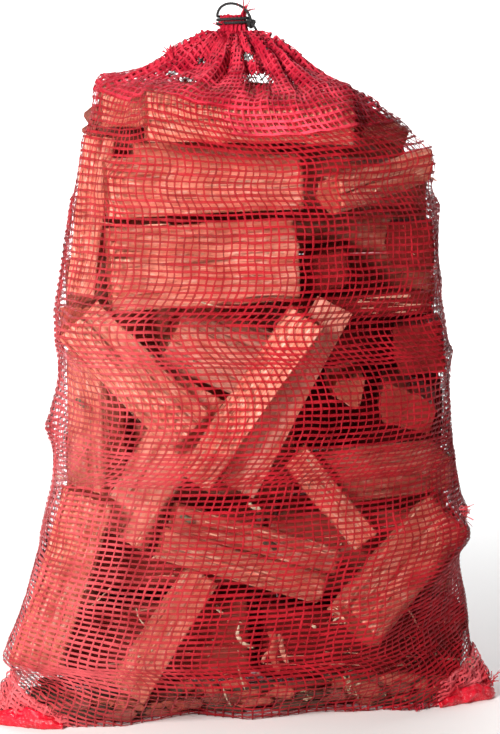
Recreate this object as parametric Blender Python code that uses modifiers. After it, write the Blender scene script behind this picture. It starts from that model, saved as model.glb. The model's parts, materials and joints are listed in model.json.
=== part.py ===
# A net sack of split firewood, tied at the neck with a drawstring and standing on its base.
# Blender 4.5, metres, +Z up. The origin is on the floor under the middle of the box, and -Y is the front.

import math

import bmesh
import bpy
import numpy as np
from mathutils import Vector
from mathutils.bvhtree import BVHTree

MM = 0.001

# The pile: the sack stands turned a little, so its left side is nearer the front than its right side.
TURN = 0.14                       # metres of depth gained for each metre to the right
LOG_GAP = 0.4 * MM                # what a log keeps to the logs it lies against
PUSH_STEP = 4.0 * MM              # how far a log is pushed between two looks for contact
PUSH_START = 0.30                 # how far out of its place a log starts
PUSH_FINE = 0.1 * MM              # how closely contact is found
LOG_RINGS = 4                     # cross-sections along one log
LOG_WOBBLE = 0.8 * MM             # how uneven a log's corners are
LOG_BOW = 1.5 * MM                # how far a log's middle may stand out of line

# The sack: one skin of the net's outer shape.
SKIN = 1.5 * MM                   # thickness of the skin that stands for the net
SKIN_CLEARANCE = 1.2 * MM         # from the wood to the skin
COLUMNS = 44                      # points round the sack
CROWD = 0.22                      # how far the columns crowd towards the two lower corners
SIDE_LOW = 0.010                  # lowest ring of the sides
SIDE_HIGH = 0.500                 # ring where the sides become the tent
SIDE_RINGS = 17
TENT_RINGS = 9
AXIS_X = 0.004                    # the sack's middle line
AXIS_Y = 0.000
REACH = 0.60                      # where the rays that feel for the wood start
FEEL = 3                          # rays felt each way round one point of the skin
FEEL_SHARE = 0.5                  # how far those rays spread, as a share of the way to the next point
TAUT_ROUNDS = 260                 # rounds in which the skin pulls taut
EASE_ROUNDS = 40                  # rounds in which it is eased off corners of wood that the rays missed
EASE = 0.8 * MM                   # how far each of those moves it
HOOP_PULL = 0.62                  # share of the pull that runs round the sack
BASE_INSET = 0.96                 # the flat base's edge against the lowest ring
BASE_RINGS = (0.38, 0.74, 1.0)    # rings of the flat base, as shares of its edge

# The neck, where the drawstring gathers the net: radius and height of its rings.
NECK_X = -0.016
NECK_Y = 0.004
NECK_RINGS = ((0.0124, 0.6610), (0.0118, 0.6725), (0.0085, 0.6812))

# The two lower corners of the flat sack, which stick out beside the base: angle, height, length, half width.
EARS = (
    (math.radians(205), 0.028, 0.027, 0.040),
    (math.radians(357), 0.020, 0.046, 0.038),
)
EAR_RISE = 0.021                  # half height of an ear

# The drawstring: two turns round the neck, and a loop that stands over it.
CORD = 3.0 * MM
CORD_OUT = 15.8 * MM              # from the neck's middle to the cord's middle
CORD_LOW = 0.6655
CORD_PITCH = 3.7 * MM
CORD_TURNS = 2
TURN_POINTS = 14                  # points in one turn
LOOP_POINTS = 14
LOOP_TOP = 0.6900
KNOT_ANGLE = math.radians(-32)
KNOT_SIZE = 4.6 * MM              # half the knot's width
KNOT_OUT = 20.0 * MM              # from the neck's middle to the knot's middle
KNOT_HIGH = 0.6690

# Cross-sections of a split log, one corner after the other. The first number runs across the face, the
# second from its front to its back, both as shares of the log's width and thickness.
SECTIONS = {
    "slab": ((-0.50, -0.42), (-0.44, -0.50), (0.46, -0.47), (0.50, -0.36), (0.45, 0.45), (-0.05, 0.50),
             (-0.48, 0.40)),
    "roof": ((-0.50, -0.45), (0.12, -0.50), (0.20, -0.46), (0.50, 0.10), (0.46, 0.46), (0.00, 0.50),
             (-0.46, 0.35)),
    "keel": ((-0.50, -0.02), (-0.05, -0.50), (0.05, -0.49), (0.50, 0.00), (0.36, 0.42), (0.00, 0.50),
             (-0.38, 0.40)),
    "quarter": ((-0.48, -0.36), (-0.40, -0.48), (0.46, -0.50), (0.50, -0.38), (0.20, 0.40), (-0.04, 0.50),
                (-0.24, 0.42)),
    "half": ((-0.50, -0.40), (-0.42, -0.48), (0.44, -0.50), (0.50, -0.36), (0.40, 0.16), (0.12, 0.46),
             (-0.20, 0.50), (-0.44, 0.14)),
}

# The logs in the order in which they are laid. Millimetres: the first end (x, z), the second end (x, z), the
# depth of the middle, how much further back the second end is, the width and the thickness. Then the roll in
# degrees and the section.
MIDDLE_LOGS = (
    ((72, 430), (78, 434), -10, 100, 42, 50, 6, "slab"),
    ((94, 314), (90, 318), -14, 104, 36, 34, -10, "quarter"),
    ((-186, 60), (-4, 66), 0, 0, 88, 80, 4, "half"),
    ((8, 58), (210, 54), 0, 0, 84, 80, -6, "slab"),
    ((-184, 149), (4, 152), 0, 4, 78, 80, 8, "quarter"),
    ((14, 146), (204, 152), 0, -4, 80, 80, 0, "half"),
    ((-151, 354), (-150, 206), -4, 10, 60, 80, 4, "keel"),
    ((-114, 241), (40, 239), 2, 0, 72, 74, -8, "slab"),
    ((70, 224), (190, 228), -4, 50, 50, 70, 0, "roof"),
    ((-77, 376), (50, 316), 0, 0, 66, 76, -10, "roof"),
    ((-168, 378), (-120, 380), 4, 80, 42, 44, 0, "slab"),
    ((153, 295), (159, 299), -12, 104, 46, 64, -8, "roof"),
    ((164, 353), (170, 351), -12, 104, 52, 54, 6, "slab"),
    ((30, 393), (178, 395), 2, 0, 26, 74, 0, "slab"),
    ((-144, 562), (-162, 404), -14, 0, 36, 62, 0, "half"),
    ((-120, 446), (22, 445), 2, 0, 68, 74, -5, "quarter"),
    ((-118, 522), (20, 520), 2, 0, 70, 76, 6, "slab"),
    ((154, 456), (160, 454), -14, 100, 48, 52, 0, "slab"),
    ((30, 516), (171, 513), 2, 0, 52, 76, -4, "half"),
    ((-148, 590), (62, 588), 0, 0, 48, 70, 0, "roof"),
)
FRONT_LOGS = (
    ((98, 580), (138, 558), -22, 60, 34, 42, 0, "slab"),
    ((-139, 514), (50, 519), -65, 6, 60, 50, 0, "roof"),
    ((-42, 318), (-125, 173), -62, -10, 58, 38, -16, "slab"),
    ((-100, 583), (98, 579), -62, 0, 54, 48, 0, "roof"),
    ((-137, 437), (46, 443), -65, 6, 82, 50, 0, "roof"),
    ((74, 508), (168, 534), -55, 70, 40, 46, 34, "keel"),
    ((-150, 226), (-207, 56), -65, 0, 54, 46, 0, "slab"),
    ((-46, 138), (-122, 24), -68, -20, 38, 38, 8, "slab"),
    ((-76, 204), (84, 157), -62, 0, 28, 42, 0, "slab"),
    ((-88, 174), (71, 124), -64, 0, 34, 42, 0, "keel"),
    ((43, 256), (114, 168), -60, 0, 32, 30, 0, "slab"),
    ((99, 92), (190, 188), -66, 60, 62, 44, 0, "slab"),
    ((-164, 391), (-56, 281), -66, -16, 60, 42, -6, "keel"),
    ((83, 402), (-14, 221), -80, -4, 40, 36, 4, "slab"),
    ((55, 396), (-54, 234), -84, 22, 37, 34, 0, "slab"),
)
BACK_LOGS = (
    ((-196, 46), (20, 44), 66, 0, 60, 54, 0, "half"),
    ((30, 46), (210, 46), 66, 0, 58, 52, 0, "slab"),
    ((-194, 112), (24, 108), 66, 0, 58, 48, 0, "roof"),
    ((29, 103), (204, 103), 66, 0, 48, 50, 0, "quarter"),
    ((29, 163), (198, 163), 66, 0, 60, 46, 0, "slab"),
    ((-190, 178), (22, 176), 66, 0, 62, 50, 0, "half"),
    ((-184, 236), (24, 238), 66, 0, 46, 48, 0, "keel"),
    ((29, 216), (196, 216), 66, 0, 38, 44, 0, "slab"),
    ((28, 280), (192, 280), 66, 0, 82, 46, 0, "roof"),
    ((-184, 394), (20, 394), 66, 0, 78, 50, 0, "slab"),
    ((29, 411), (182, 411), 66, 0, 52, 46, 0, "half"),
    ((-174, 470), (24, 468), 66, 0, 58, 50, 0, "quarter"),
    ((29, 470), (174, 470), 66, 0, 60, 48, 0, "slab"),
    ((-148, 534), (26, 538), 64, 0, 58, 48, 0, "keel"),
    ((-184, 307), (22, 307), 66, 0, 82, 48, 0, "slab"),
    ((28, 353), (184, 353), 66, 0, 54, 46, 0, "quarter"),
    ((32, 534), (150, 534), 60, 0, 56, 48, 0, "roof"),
)


def clear_scene():
    for thing in list(bpy.data.objects):
        bpy.data.objects.remove(thing, do_unlink=True)


def make_material(name, colour, roughness):
    """A plain material of one colour, for a piece that has no metal in it."""
    material = bpy.data.materials.new(name)
    material.use_nodes = True
    shader = material.node_tree.nodes["Principled BSDF"]
    shader.inputs["Base Color"].default_value = (*colour, 1.0)
    shader.inputs["Roughness"].default_value = roughness
    shader.inputs["Metallic"].default_value = 0.0
    material.diffuse_color = (*colour, 1.0)
    return material


def add_object(name, bm, collection, material):
    mesh = bpy.data.meshes.new(name)
    bm.to_mesh(mesh)
    bm.free()
    mesh.materials.append(material)
    thing = bpy.data.objects.new(name, mesh)
    collection.objects.link(thing)
    return thing


def loft(rings, cap_start, cap_end):
    """Joins rings of points, all of one count, by a wall of faces, with a face on each capped end."""
    bm = bmesh.new()
    verts = [[bm.verts.new(point) for point in ring] for ring in rings]
    for low, high in zip(verts, verts[1:]):
        for i, vert in enumerate(low):
            j = (i + 1) % len(low)
            bm.faces.new((vert, low[j], high[j], high[i]))
    if cap_start:
        bm.faces.new(verts[0][::-1])
    if cap_end:
        bm.faces.new(verts[-1])
    return bm


# The logs.

def log_frame(row):
    """The two ends of a log, and its three directions: along it, across its face, and towards its back."""
    first, second, depth, lean = row[:4]
    middle_x = (first[0] + second[0]) / 2 * MM
    middle_y = depth * MM + TURN * middle_x
    run_x = (second[0] - first[0]) * MM
    half_run_y = (lean * MM + TURN * run_x) / 2
    start = Vector((first[0] * MM, middle_y - half_run_y, first[1] * MM))
    end = Vector((second[0] * MM, middle_y + half_run_y, second[1] * MM))
    along = (end - start).normalized()
    across = along.cross(Vector((0, 1, 0)))
    if across.length < 0.5:
        across = Vector((0, 0, 1)) - along * along.z
    across.normalize()
    return start, end, along, across, across.cross(along)


def log_rings(row, seed, extra=0.0):
    """The cross-sections of one log, never quite straight or even. Extra makes it fatter all round."""
    width, thickness, roll, kind = row[4:]
    start, end, along, across, back = log_frame(row)
    start = start - along * extra
    end = end + along * extra
    draw = np.random.RandomState(seed)
    corners = np.array(SECTIONS[kind])
    corners = corners + draw.uniform(-0.03, 0.03, corners.shape)
    size = np.array((width * MM, thickness * MM)) + 2 * extra
    taper = draw.uniform(0.90, 1.0, 2)
    twist = math.radians(draw.uniform(-5, 5))
    bow = draw.uniform(-LOG_BOW, LOG_BOW, 2)
    slant = draw.uniform(-0.06, 0.06, 2)
    rings = []
    for step in range(LOG_RINGS):
        share = step / (LOG_RINGS - 1)
        at_end = step in (0, LOG_RINGS - 1)
        centre = start.lerp(end, share) + (across * bow[0] + back * bow[1]) * math.sin(math.pi * share)
        turn = math.radians(roll) + twist * (share - 0.5)
        section = corners * size * (taper[0] + (taper[1] - taper[0]) * share)
        section = section + draw.uniform(-LOG_WOBBLE, LOG_WOBBLE, corners.shape)
        ring = []
        for u, v in section:
            u, v = u * math.cos(turn) - v * math.sin(turn), u * math.sin(turn) + v * math.cos(turn)
            cut = (slant[0] * u + slant[1] * v) if at_end else 0.0
            ring.append(centre + across * u + back * v + along * cut)
        rings.append(ring)
    return rings


def log_mesh(row, seed, shift, extra=0.0):
    rings = [[point + Vector((0, shift, 0)) for point in ring] for ring in log_rings(row, seed, extra)]
    bm = loft(rings, True, True)
    bmesh.ops.triangulate(bm, faces=bm.faces[:])
    bmesh.ops.recalc_face_normals(bm, faces=bm.faces[:])
    return bm


def touches(row, seed, shift, laid):
    bm = log_mesh(row, seed, shift, LOG_GAP)
    tree = BVHTree.FromBMesh(bm)
    bm.free()
    return any(tree.overlap(other) for other in laid)


def push_in(row, seed, side, laid):
    """Pushes a log to its place from the front (side -1) or the back (side 1), or until it meets another."""
    free = side * PUSH_START
    while abs(free) > PUSH_STEP:
        nearer = free - side * PUSH_STEP
        if touches(row, seed, nearer, laid):
            break
        free = nearer
    else:
        nearer = 0.0
        if not touches(row, seed, nearer, laid):
            return 0.0
    while abs(free - nearer) > PUSH_FINE:
        half = (free + nearer) / 2
        if touches(row, seed, half, laid):
            nearer = half
        else:
            free = half
    return free


def lay_logs(collection, material):
    """Lays the middle of the pile, then the logs seen from the front, then those seen from the back."""
    laid = []
    groups = (("middle_log", MIDDLE_LOGS, 1), ("front_log", FRONT_LOGS, -1), ("back_log", BACK_LOGS, 1))
    for group, (name, rows, side) in enumerate(groups):
        for number, row in enumerate(rows, start=1):
            seed = 100 * group + number
            shift = push_in(row, seed, side, laid)
            bm = log_mesh(row, seed, shift)
            laid.append(BVHTree.FromBMesh(bm))
            add_object(f"{name}_{number:02d}", bm, collection, material)


# The sack.

def neck_point(angle, out, height):
    return Vector((NECK_X + out * math.cos(angle), NECK_Y + out * math.sin(angle), height))


def pile_tree(collection):
    """One search tree over all the logs, and their corners."""
    verts = []
    faces = []
    for thing in collection.objects:
        base = len(verts)
        verts += [vert.co.copy() for vert in thing.data.vertices]
        faces += [[base + i for i in face.vertices] for face in thing.data.polygons]
    return BVHTree.FromPolygons(verts, faces)


def column_angle(column):
    """The columns crowd towards the two lower corners, at the left and the right."""
    even = 2 * math.pi * column / COLUMNS
    return even - CROWD * math.sin(2 * even)


def ray_origin(level):
    """Where the rays of one ring start, and how steeply they rise: up to level 1 the sides, then the tent."""
    if level <= 1:
        return Vector((AXIS_X, AXIS_Y, SIDE_LOW + (SIDE_HIGH - SIDE_LOW) * level)), 0.0
    share = level - 1
    middle = Vector((AXIS_X, AXIS_Y, SIDE_HIGH)).lerp(Vector((NECK_X, NECK_Y, SIDE_HIGH)), share)
    return middle, share * math.pi / 2


def ray(level, angle):
    origin, rise = ray_origin(level)
    flat = Vector((math.cos(angle), math.sin(angle), 0)) * math.cos(rise)
    return origin, flat + Vector((0, 0, math.sin(rise)))


def feel(tree, level, angle):
    """How far out the wood reaches along one ray."""
    origin, direction = ray(level, angle)
    hit = tree.ray_cast(origin + direction * REACH, -direction, REACH)
    return REACH - hit[3] if hit[0] else 0.0


def ring_levels():
    sides = [step / (SIDE_RINGS - 1) for step in range(SIDE_RINGS)]
    tent = [1 + (step + 1) / (TENT_RINGS + 1) for step in range(TENT_RINGS)]
    return sides + tent


def wood_reach(tree, levels):
    """The furthest that the wood reaches in the patch of skin round each point."""
    reach = np.zeros((len(levels), COLUMNS))
    for k, level in enumerate(levels):
        below = levels[k - 1] if k else level - (levels[1] - levels[0])
        above = levels[k + 1] if k + 1 < len(levels) else level
        for i in range(COLUMNS):
            left, middle, right = (column_angle(i + step) for step in (-1, 0, 1))
            furthest = 0.0
            for row in np.linspace(-FEEL_SHARE, FEEL_SHARE, 2 * FEEL + 1):
                height = level + row * ((above - level) if row > 0 else (level - below))
                for turn in np.linspace(-FEEL_SHARE, FEEL_SHARE, 2 * FEEL + 1):
                    angle = middle + turn * ((right - middle) if turn > 0 else (middle - left))
                    furthest = max(furthest, feel(tree, height, angle))
            reach[k, i] = furthest + SKIN_CLEARANCE
    return reach


def pull_taut(levels, reach):
    """Shrinks the skin onto the wood: each point moves along its own ray to between its neighbours."""
    directions = np.array([[ray(level, column_angle(i))[1] for i in range(COLUMNS)] for level in levels])
    origins = np.array([[ray(level, 0.0)[0]] * COLUMNS for level in levels])
    neck_radius, neck_high = NECK_RINGS[0]
    neck = np.array([neck_point(column_angle(i), neck_radius, neck_high) for i in range(COLUMNS)])
    length = np.maximum(reach, 0.10)
    for _ in range(TAUT_ROUNDS):
        points = origins + directions * length[..., None]
        hoop = (np.roll(points, 1, axis=1) + np.roll(points, -1, axis=1)) / 2
        above = np.concatenate((points[1:], neck[None]))
        below = np.concatenate((points[:1] - np.array((0, 0, SIDE_LOW)), points[:-1]))
        pulled = HOOP_PULL * hoop + (1 - HOOP_PULL) * (above + below) / 2
        length = np.maximum(reach, ((pulled - origins) * directions).sum(axis=2))
    return origins + directions * length[..., None], neck


def ear_push(point):
    """How far the sewn corners of the net stick out at a point of the skin."""
    out = Vector((0, 0, 0))
    radius = math.hypot(point[0] - AXIS_X, point[1] - AXIS_Y)
    for angle, height, length, half_width in EARS:
        aim = Vector((math.cos(angle), math.sin(angle), 0))
        side = -aim.y * (point[0] - AXIS_X) + aim.x * (point[1] - AXIS_Y)
        ahead = aim.x * (point[0] - AXIS_X) + aim.y * (point[1] - AXIS_Y)
        if ahead < radius / 2:
            continue
        fade = math.exp(-(side / half_width) ** 2 - ((point[2] - height) / EAR_RISE) ** 2)
        out += aim * length * fade
    return out


def ease_off(tree, levels, reach):
    """Pulls the skin taut, and again a little further out wherever a corner of wood still shows."""
    for _ in range(EASE_ROUNDS):
        points, neck = pull_taut(levels, reach)
        bm = loft([[Vector(point) for point in ring] for ring in points], False, False)
        bmesh.ops.triangulate(bm, faces=bm.faces[:])
        bm.faces.ensure_lookup_table()
        pairs = BVHTree.FromBMesh(bm).overlap(tree)
        through = {vert.index for face, _ in pairs for vert in bm.faces[face].verts}
        bm.free()
        if not through:
            break
        for index in through:
            reach[divmod(index, COLUMNS)] += EASE
    return points, neck


def sack_rings(tree):
    """All the rings of the skin's inner side, from the middle of the flat base up to the mouth."""
    levels = ring_levels()
    points, neck = ease_off(tree, levels, wood_reach(tree, levels))
    wall = [[Vector(point) + ear_push(point) for point in ring] for ring in points]
    middle = Vector((AXIS_X, AXIS_Y, SKIN))
    edge = [middle.lerp(Vector((x, y, SKIN)), BASE_INSET) for x, y, _ in wall[0]]
    base = [[middle.lerp(point, share) for point in edge] for share in BASE_RINGS]
    mouth = [[Vector(point) for point in neck]]
    for radius, height in NECK_RINGS[1:]:
        mouth.append([neck_point(column_angle(i), radius, height) for i in range(COLUMNS)])
    return base + wall + mouth


def make_sack(collection, tree, material):
    """The net as one thin skin, open at the mouth, which thickens outwards."""
    bm = loft(sack_rings(tree), True, False)
    bmesh.ops.poke(bm, faces=[max(bm.faces, key=lambda face: len(face.verts))])
    bmesh.ops.triangulate(bm, faces=bm.faces[:])
    bmesh.ops.recalc_face_normals(bm, faces=bm.faces[:])
    sack = add_object("net_sack", bm, collection, material)
    thicken = sack.modifiers.new("net thickness", "SOLIDIFY")
    thicken.thickness = SKIN
    thicken.offset = 1.0
    for face in sack.data.polygons:
        face.use_smooth = True
    return sack


# The drawstring.

def drawstring_route():
    """Out of the knot, twice round the neck, up over it in a loop and back into the knot."""
    route = [neck_point(KNOT_ANGLE, KNOT_OUT, CORD_LOW)]
    sweep = 2 * math.pi * CORD_TURNS + math.pi - KNOT_ANGLE
    steps = int(TURN_POINTS * sweep / (2 * math.pi))
    for step in range(1, steps + 1):
        angle = sweep * step / steps
        out = CORD_OUT + (KNOT_OUT - CORD_OUT) * max(0.0, 1 - step / 2)
        route.append(neck_point(KNOT_ANGLE + angle, out, CORD_LOW + CORD_PITCH * angle / (2 * math.pi)))
    start = route[-1]
    end = neck_point(KNOT_ANGLE, KNOT_OUT, KNOT_HIGH)
    for step in range(1, LOOP_POINTS + 1):
        share = step / LOOP_POINTS
        point = start.lerp(end, (1 - math.cos(math.pi * share)) / 2)
        point.z += (LOOP_TOP - start.z) * math.sin(math.pi * share)
        route.append(point)
    return route


def make_drawstring(collection, cutters, material):
    curve = bpy.data.curves.new("drawstring route", "CURVE")
    curve.dimensions = "3D"
    curve.bevel_depth = CORD / 2
    curve.bevel_resolution = 2
    curve.use_fill_caps = True
    route = drawstring_route()
    spline = curve.splines.new("POLY")
    spline.points.add(len(route) - 1)
    for slot, point in zip(spline.points, route):
        slot.co = (*point, 1.0)
    tube = bpy.data.objects.new("drawstring route", curve)
    collection.objects.link(tube)
    bpy.context.view_layer.update()
    mesh = bpy.data.meshes.new_from_object(tube.evaluated_get(bpy.context.evaluated_depsgraph_get()))
    bpy.data.objects.remove(tube, do_unlink=True)
    bm = bmesh.new()
    bm.from_mesh(mesh)
    bmesh.ops.remove_doubles(bm, verts=bm.verts[:], dist=0.01 * MM)
    bmesh.ops.recalc_face_normals(bm, faces=bm.faces[:])
    cord = add_object("drawstring", bm, collection, material)

    bm = bmesh.new()
    bmesh.ops.create_icosphere(bm, subdivisions=2, radius=KNOT_SIZE)
    place = neck_point(KNOT_ANGLE, KNOT_OUT, KNOT_HIGH - CORD_PITCH / 3)
    bmesh.ops.translate(bm, verts=bm.verts[:], vec=place)
    knot = add_object("knot", bm, cutters, material)
    knot.hide_render = True
    knot.display_type = "WIRE"
    join = cord.modifiers.new("knot", "BOOLEAN")
    join.operation = "UNION"
    join.solver = "EXACT"
    join.object = knot
    return cord


def stand_on_origin(collection, cutters):
    """Moves everything so that the origin is on the floor under the middle of the box."""
    bpy.context.view_layer.update()
    corners = []
    for thing in collection.objects:
        shape = thing.evaluated_get(bpy.context.evaluated_depsgraph_get())
        corners += [Vector(corner) for corner in shape.bound_box]
    low = Vector([min(corner[axis] for corner in corners) for axis in range(3)])
    high = Vector([max(corner[axis] for corner in corners) for axis in range(3)])
    shift = Vector((-(low.x + high.x) / 2, -(low.y + high.y) / 2, -low.z))
    for thing in list(collection.objects) + list(cutters.objects):
        thing.location = shift
    bpy.context.view_layer.update()


def main():
    clear_scene()
    parts = bpy.data.collections.new("firewood_bundle")
    cutters = bpy.data.collections.new("cutters")
    bpy.context.scene.collection.children.link(parts)
    bpy.context.scene.collection.children.link(cutters)
    wood = make_material("split wood", (0.72, 0.42, 0.26), 0.75)
    net = make_material("red net", (0.62, 0.02, 0.03), 0.45)
    cord = make_material("black cord", (0.02, 0.02, 0.02), 0.8)
    lay_logs(parts, wood)
    make_sack(parts, pile_tree(parts), net)
    make_drawstring(parts, cutters, cord)
    stand_on_origin(parts, cutters)


main()
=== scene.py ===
import json
import math

import bmesh
import bpy
import numpy as np
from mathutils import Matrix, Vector
from mathutils.bvhtree import BVHTree

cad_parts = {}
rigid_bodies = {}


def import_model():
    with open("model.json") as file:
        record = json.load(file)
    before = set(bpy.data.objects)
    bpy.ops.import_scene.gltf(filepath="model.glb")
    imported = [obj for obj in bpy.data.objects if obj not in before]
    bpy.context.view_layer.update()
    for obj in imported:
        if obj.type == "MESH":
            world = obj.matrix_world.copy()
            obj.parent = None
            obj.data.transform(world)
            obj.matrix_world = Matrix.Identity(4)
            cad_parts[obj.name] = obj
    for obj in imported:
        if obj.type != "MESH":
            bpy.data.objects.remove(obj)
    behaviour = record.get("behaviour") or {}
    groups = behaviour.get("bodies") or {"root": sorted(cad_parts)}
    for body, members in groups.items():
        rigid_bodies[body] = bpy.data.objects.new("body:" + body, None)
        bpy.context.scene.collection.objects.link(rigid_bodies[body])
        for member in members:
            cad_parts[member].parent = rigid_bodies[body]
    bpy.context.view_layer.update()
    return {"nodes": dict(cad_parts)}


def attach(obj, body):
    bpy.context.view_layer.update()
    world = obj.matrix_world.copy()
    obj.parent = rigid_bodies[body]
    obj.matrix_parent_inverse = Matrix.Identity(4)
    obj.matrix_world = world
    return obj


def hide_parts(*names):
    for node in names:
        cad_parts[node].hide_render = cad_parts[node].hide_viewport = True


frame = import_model()

# The logs. Split firewood of a pale reddish wood, each log riven from a round, so it has rough faces that
# follow the grain, torn flakes, cracks and two sawn ends, and bark only where it was the tree's outside.
# They lie loose in the sack, held by the net.

MM = 0.001
# cross-sections along a log, and points round one, for the logs in front, in the middle and at the back
LOG_DETAIL = {"front": (40, 112), "middle": (28, 84), "back": (20, 56)}
LOG_FEEL = 240                    # directions in which a log's section is felt
GRAIN_DEPTH = 1.5 * MM            # how deep the torn fibres go into a split face
FLAKE_DEPTH = 2.6 * MM            # how deep a torn flake goes
CRACK_DEPTH = 3.2 * MM
END_RAGGED = 1.3 * MM             # how far fibres stand back at a sawn end
END_RINGS = (0.86, 0.6, 0.3)      # rings of the end face, as shares of its edge
SWELL = 2.4 * MM                  # how far a log at the back stands out over its solid
LENGTHEN = 3.4 * MM               # how much longer it is at each end
# logs with bark on the side that faces back
BARKED = ("middle_log_03", "middle_log_06", "middle_log_15", "middle_log_19", "back_log_01", "back_log_04",
          "back_log_06", "back_log_11", "back_log_07", "back_log_14")
# how each log looks against the others in the photograph, painted into its wood: below 0 painted shade,
# duller and browner, nearly black below -1; above 0 painted light, paler
LOG_LIGHT_AND_SHADE = {
    "front_log_01": -0.6, "front_log_02": 0.2, "front_log_03": 0.6, "front_log_04": 0.1,
    "front_log_05": 0.4, "front_log_06": 0.1, "front_log_07": -0.2, "front_log_08": 0.1,
    "front_log_09": -0.65, "front_log_10": 0.1, "front_log_11": -0.1, "front_log_12": -0.25,
    "front_log_13": 0.4, "front_log_14": 1.6, "front_log_15": 0.3,
    "middle_log_01": -1.15, "middle_log_02": -0.2, "middle_log_03": -0.98, "middle_log_04": -1.35,
    "middle_log_05": -1.0, "middle_log_06": -0.9, "middle_log_07": 0.3, "middle_log_08": -0.6,
    "middle_log_09": -0.3, "middle_log_10": 1.5, "middle_log_11": -0.3, "middle_log_12": -0.9,
    "middle_log_13": -1.1, "middle_log_14": -1.1, "middle_log_15": 0.3, "middle_log_18": -1.2,
    "middle_log_19": -0.8, "middle_log_20": 0.2, "back_log_09": -1.4, "back_log_16": -1.4,
}
HIDDEN_LOG_LIGHT_AND_SHADE = (-0.7, 0.1)          # the other logs, which the photograph hides: a random amount of painted shade, at most a little painted light


def smooth_noise(rng, shape, cells):
    """Smooth random values from -1 to 1 on a grid of so many cells each way. The second axis wraps."""
    knots = rng.uniform(-1, 1, (cells[0] + 2, cells[1]))
    rows = np.linspace(0, cells[0], shape[0])
    columns = np.linspace(0, cells[1], shape[1], endpoint=False)
    r0 = np.minimum(rows.astype(int), cells[0])
    c0 = columns.astype(int) % cells[1]
    rf = rows - r0
    cf = columns - columns.astype(int)
    rf = (rf * rf * (3 - 2 * rf))[:, None]
    cf = (cf * cf * (3 - 2 * cf))[None, :]
    c1 = (c0 + 1) % cells[1]
    low = knots[r0][:, c0] * (1 - cf) + knots[r0][:, c1] * cf
    high = knots[r0 + 1][:, c0] * (1 - cf) + knots[r0 + 1][:, c1] * cf
    return low * (1 - rf) + high * rf


def unit(vectors):
    return vectors / (np.linalg.norm(vectors, axis=-1, keepdims=True) + 1e-12)


def grid_mesh(name, verts, faces):
    mesh = bpy.data.meshes.new(name)
    verts = np.asarray(verts, np.float32)
    faces = np.asarray(faces, np.int32)
    mesh.vertices.add(len(verts))
    mesh.vertices.foreach_set("co", verts.ravel())
    mesh.loops.add(faces.size)
    mesh.loops.foreach_set("vertex_index", faces.ravel())
    mesh.polygons.add(len(faces))
    mesh.polygons.foreach_set("loop_start", np.arange(0, faces.size, faces.shape[1], dtype=np.int32))
    mesh.polygons.foreach_set("loop_total", np.full(len(faces), faces.shape[1], np.int32))
    mesh.update(calc_edges=True)
    mesh.validate()
    return mesh


def write_values(mesh, name, values):
    kind = "FLOAT_VECTOR" if values.ndim == 2 else "FLOAT"
    attribute = mesh.attributes.new(name, kind, "POINT")
    key = "vector" if values.ndim == 2 else "value"
    attribute.data.foreach_set(key, np.asarray(values, np.float32).ravel())


def add_piece(name, mesh, material, replaced=(), smooth=True):
    piece = bpy.data.objects.new(name, mesh)
    bpy.context.scene.collection.objects.link(piece)
    mesh.materials.append(material)
    mesh.polygons.foreach_set("use_smooth", np.full(len(mesh.polygons), smooth))
    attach(piece, "root")
    if replaced:
        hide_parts(*replaced)
    return piece


def ring_quads(rows, columns):
    """Quads of a grid whose rows close into rings."""
    i = np.arange(rows - 1)[:, None]
    j = np.arange(columns)[None, :]
    k = (j + 1) % columns
    below, above = i * columns, (i + 1) * columns
    quads = np.stack([below + j, below + k, above + k, above + j], axis=-1)
    return quads.reshape(-1, 4)


def closed_mesh(name, layers):
    """A closed mesh of rings of points, with a point in the middle of the first ring and one in the last."""
    rows, columns = layers.shape[:2]
    verts = np.vstack((layers.reshape(-1, 3), layers[0].mean(0)[None], layers[-1].mean(0)[None]))
    count = rows * columns
    here = np.arange(columns)
    there = (here + 1) % columns
    last = count - columns
    bm = bmesh.new()
    points = [bm.verts.new(vert) for vert in verts]
    for quad in ring_quads(rows, columns):
        bm.faces.new([points[i] for i in quad])
    for i, j in zip(here, there):
        bm.faces.new((points[j], points[i], points[count]))
        bm.faces.new((points[last + i], points[last + j], points[count + 1]))
    bmesh.ops.recalc_face_normals(bm, faces=bm.faces[:])
    mesh = bpy.data.meshes.new(name)
    bm.to_mesh(mesh)
    bm.free()
    return mesh, verts


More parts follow.
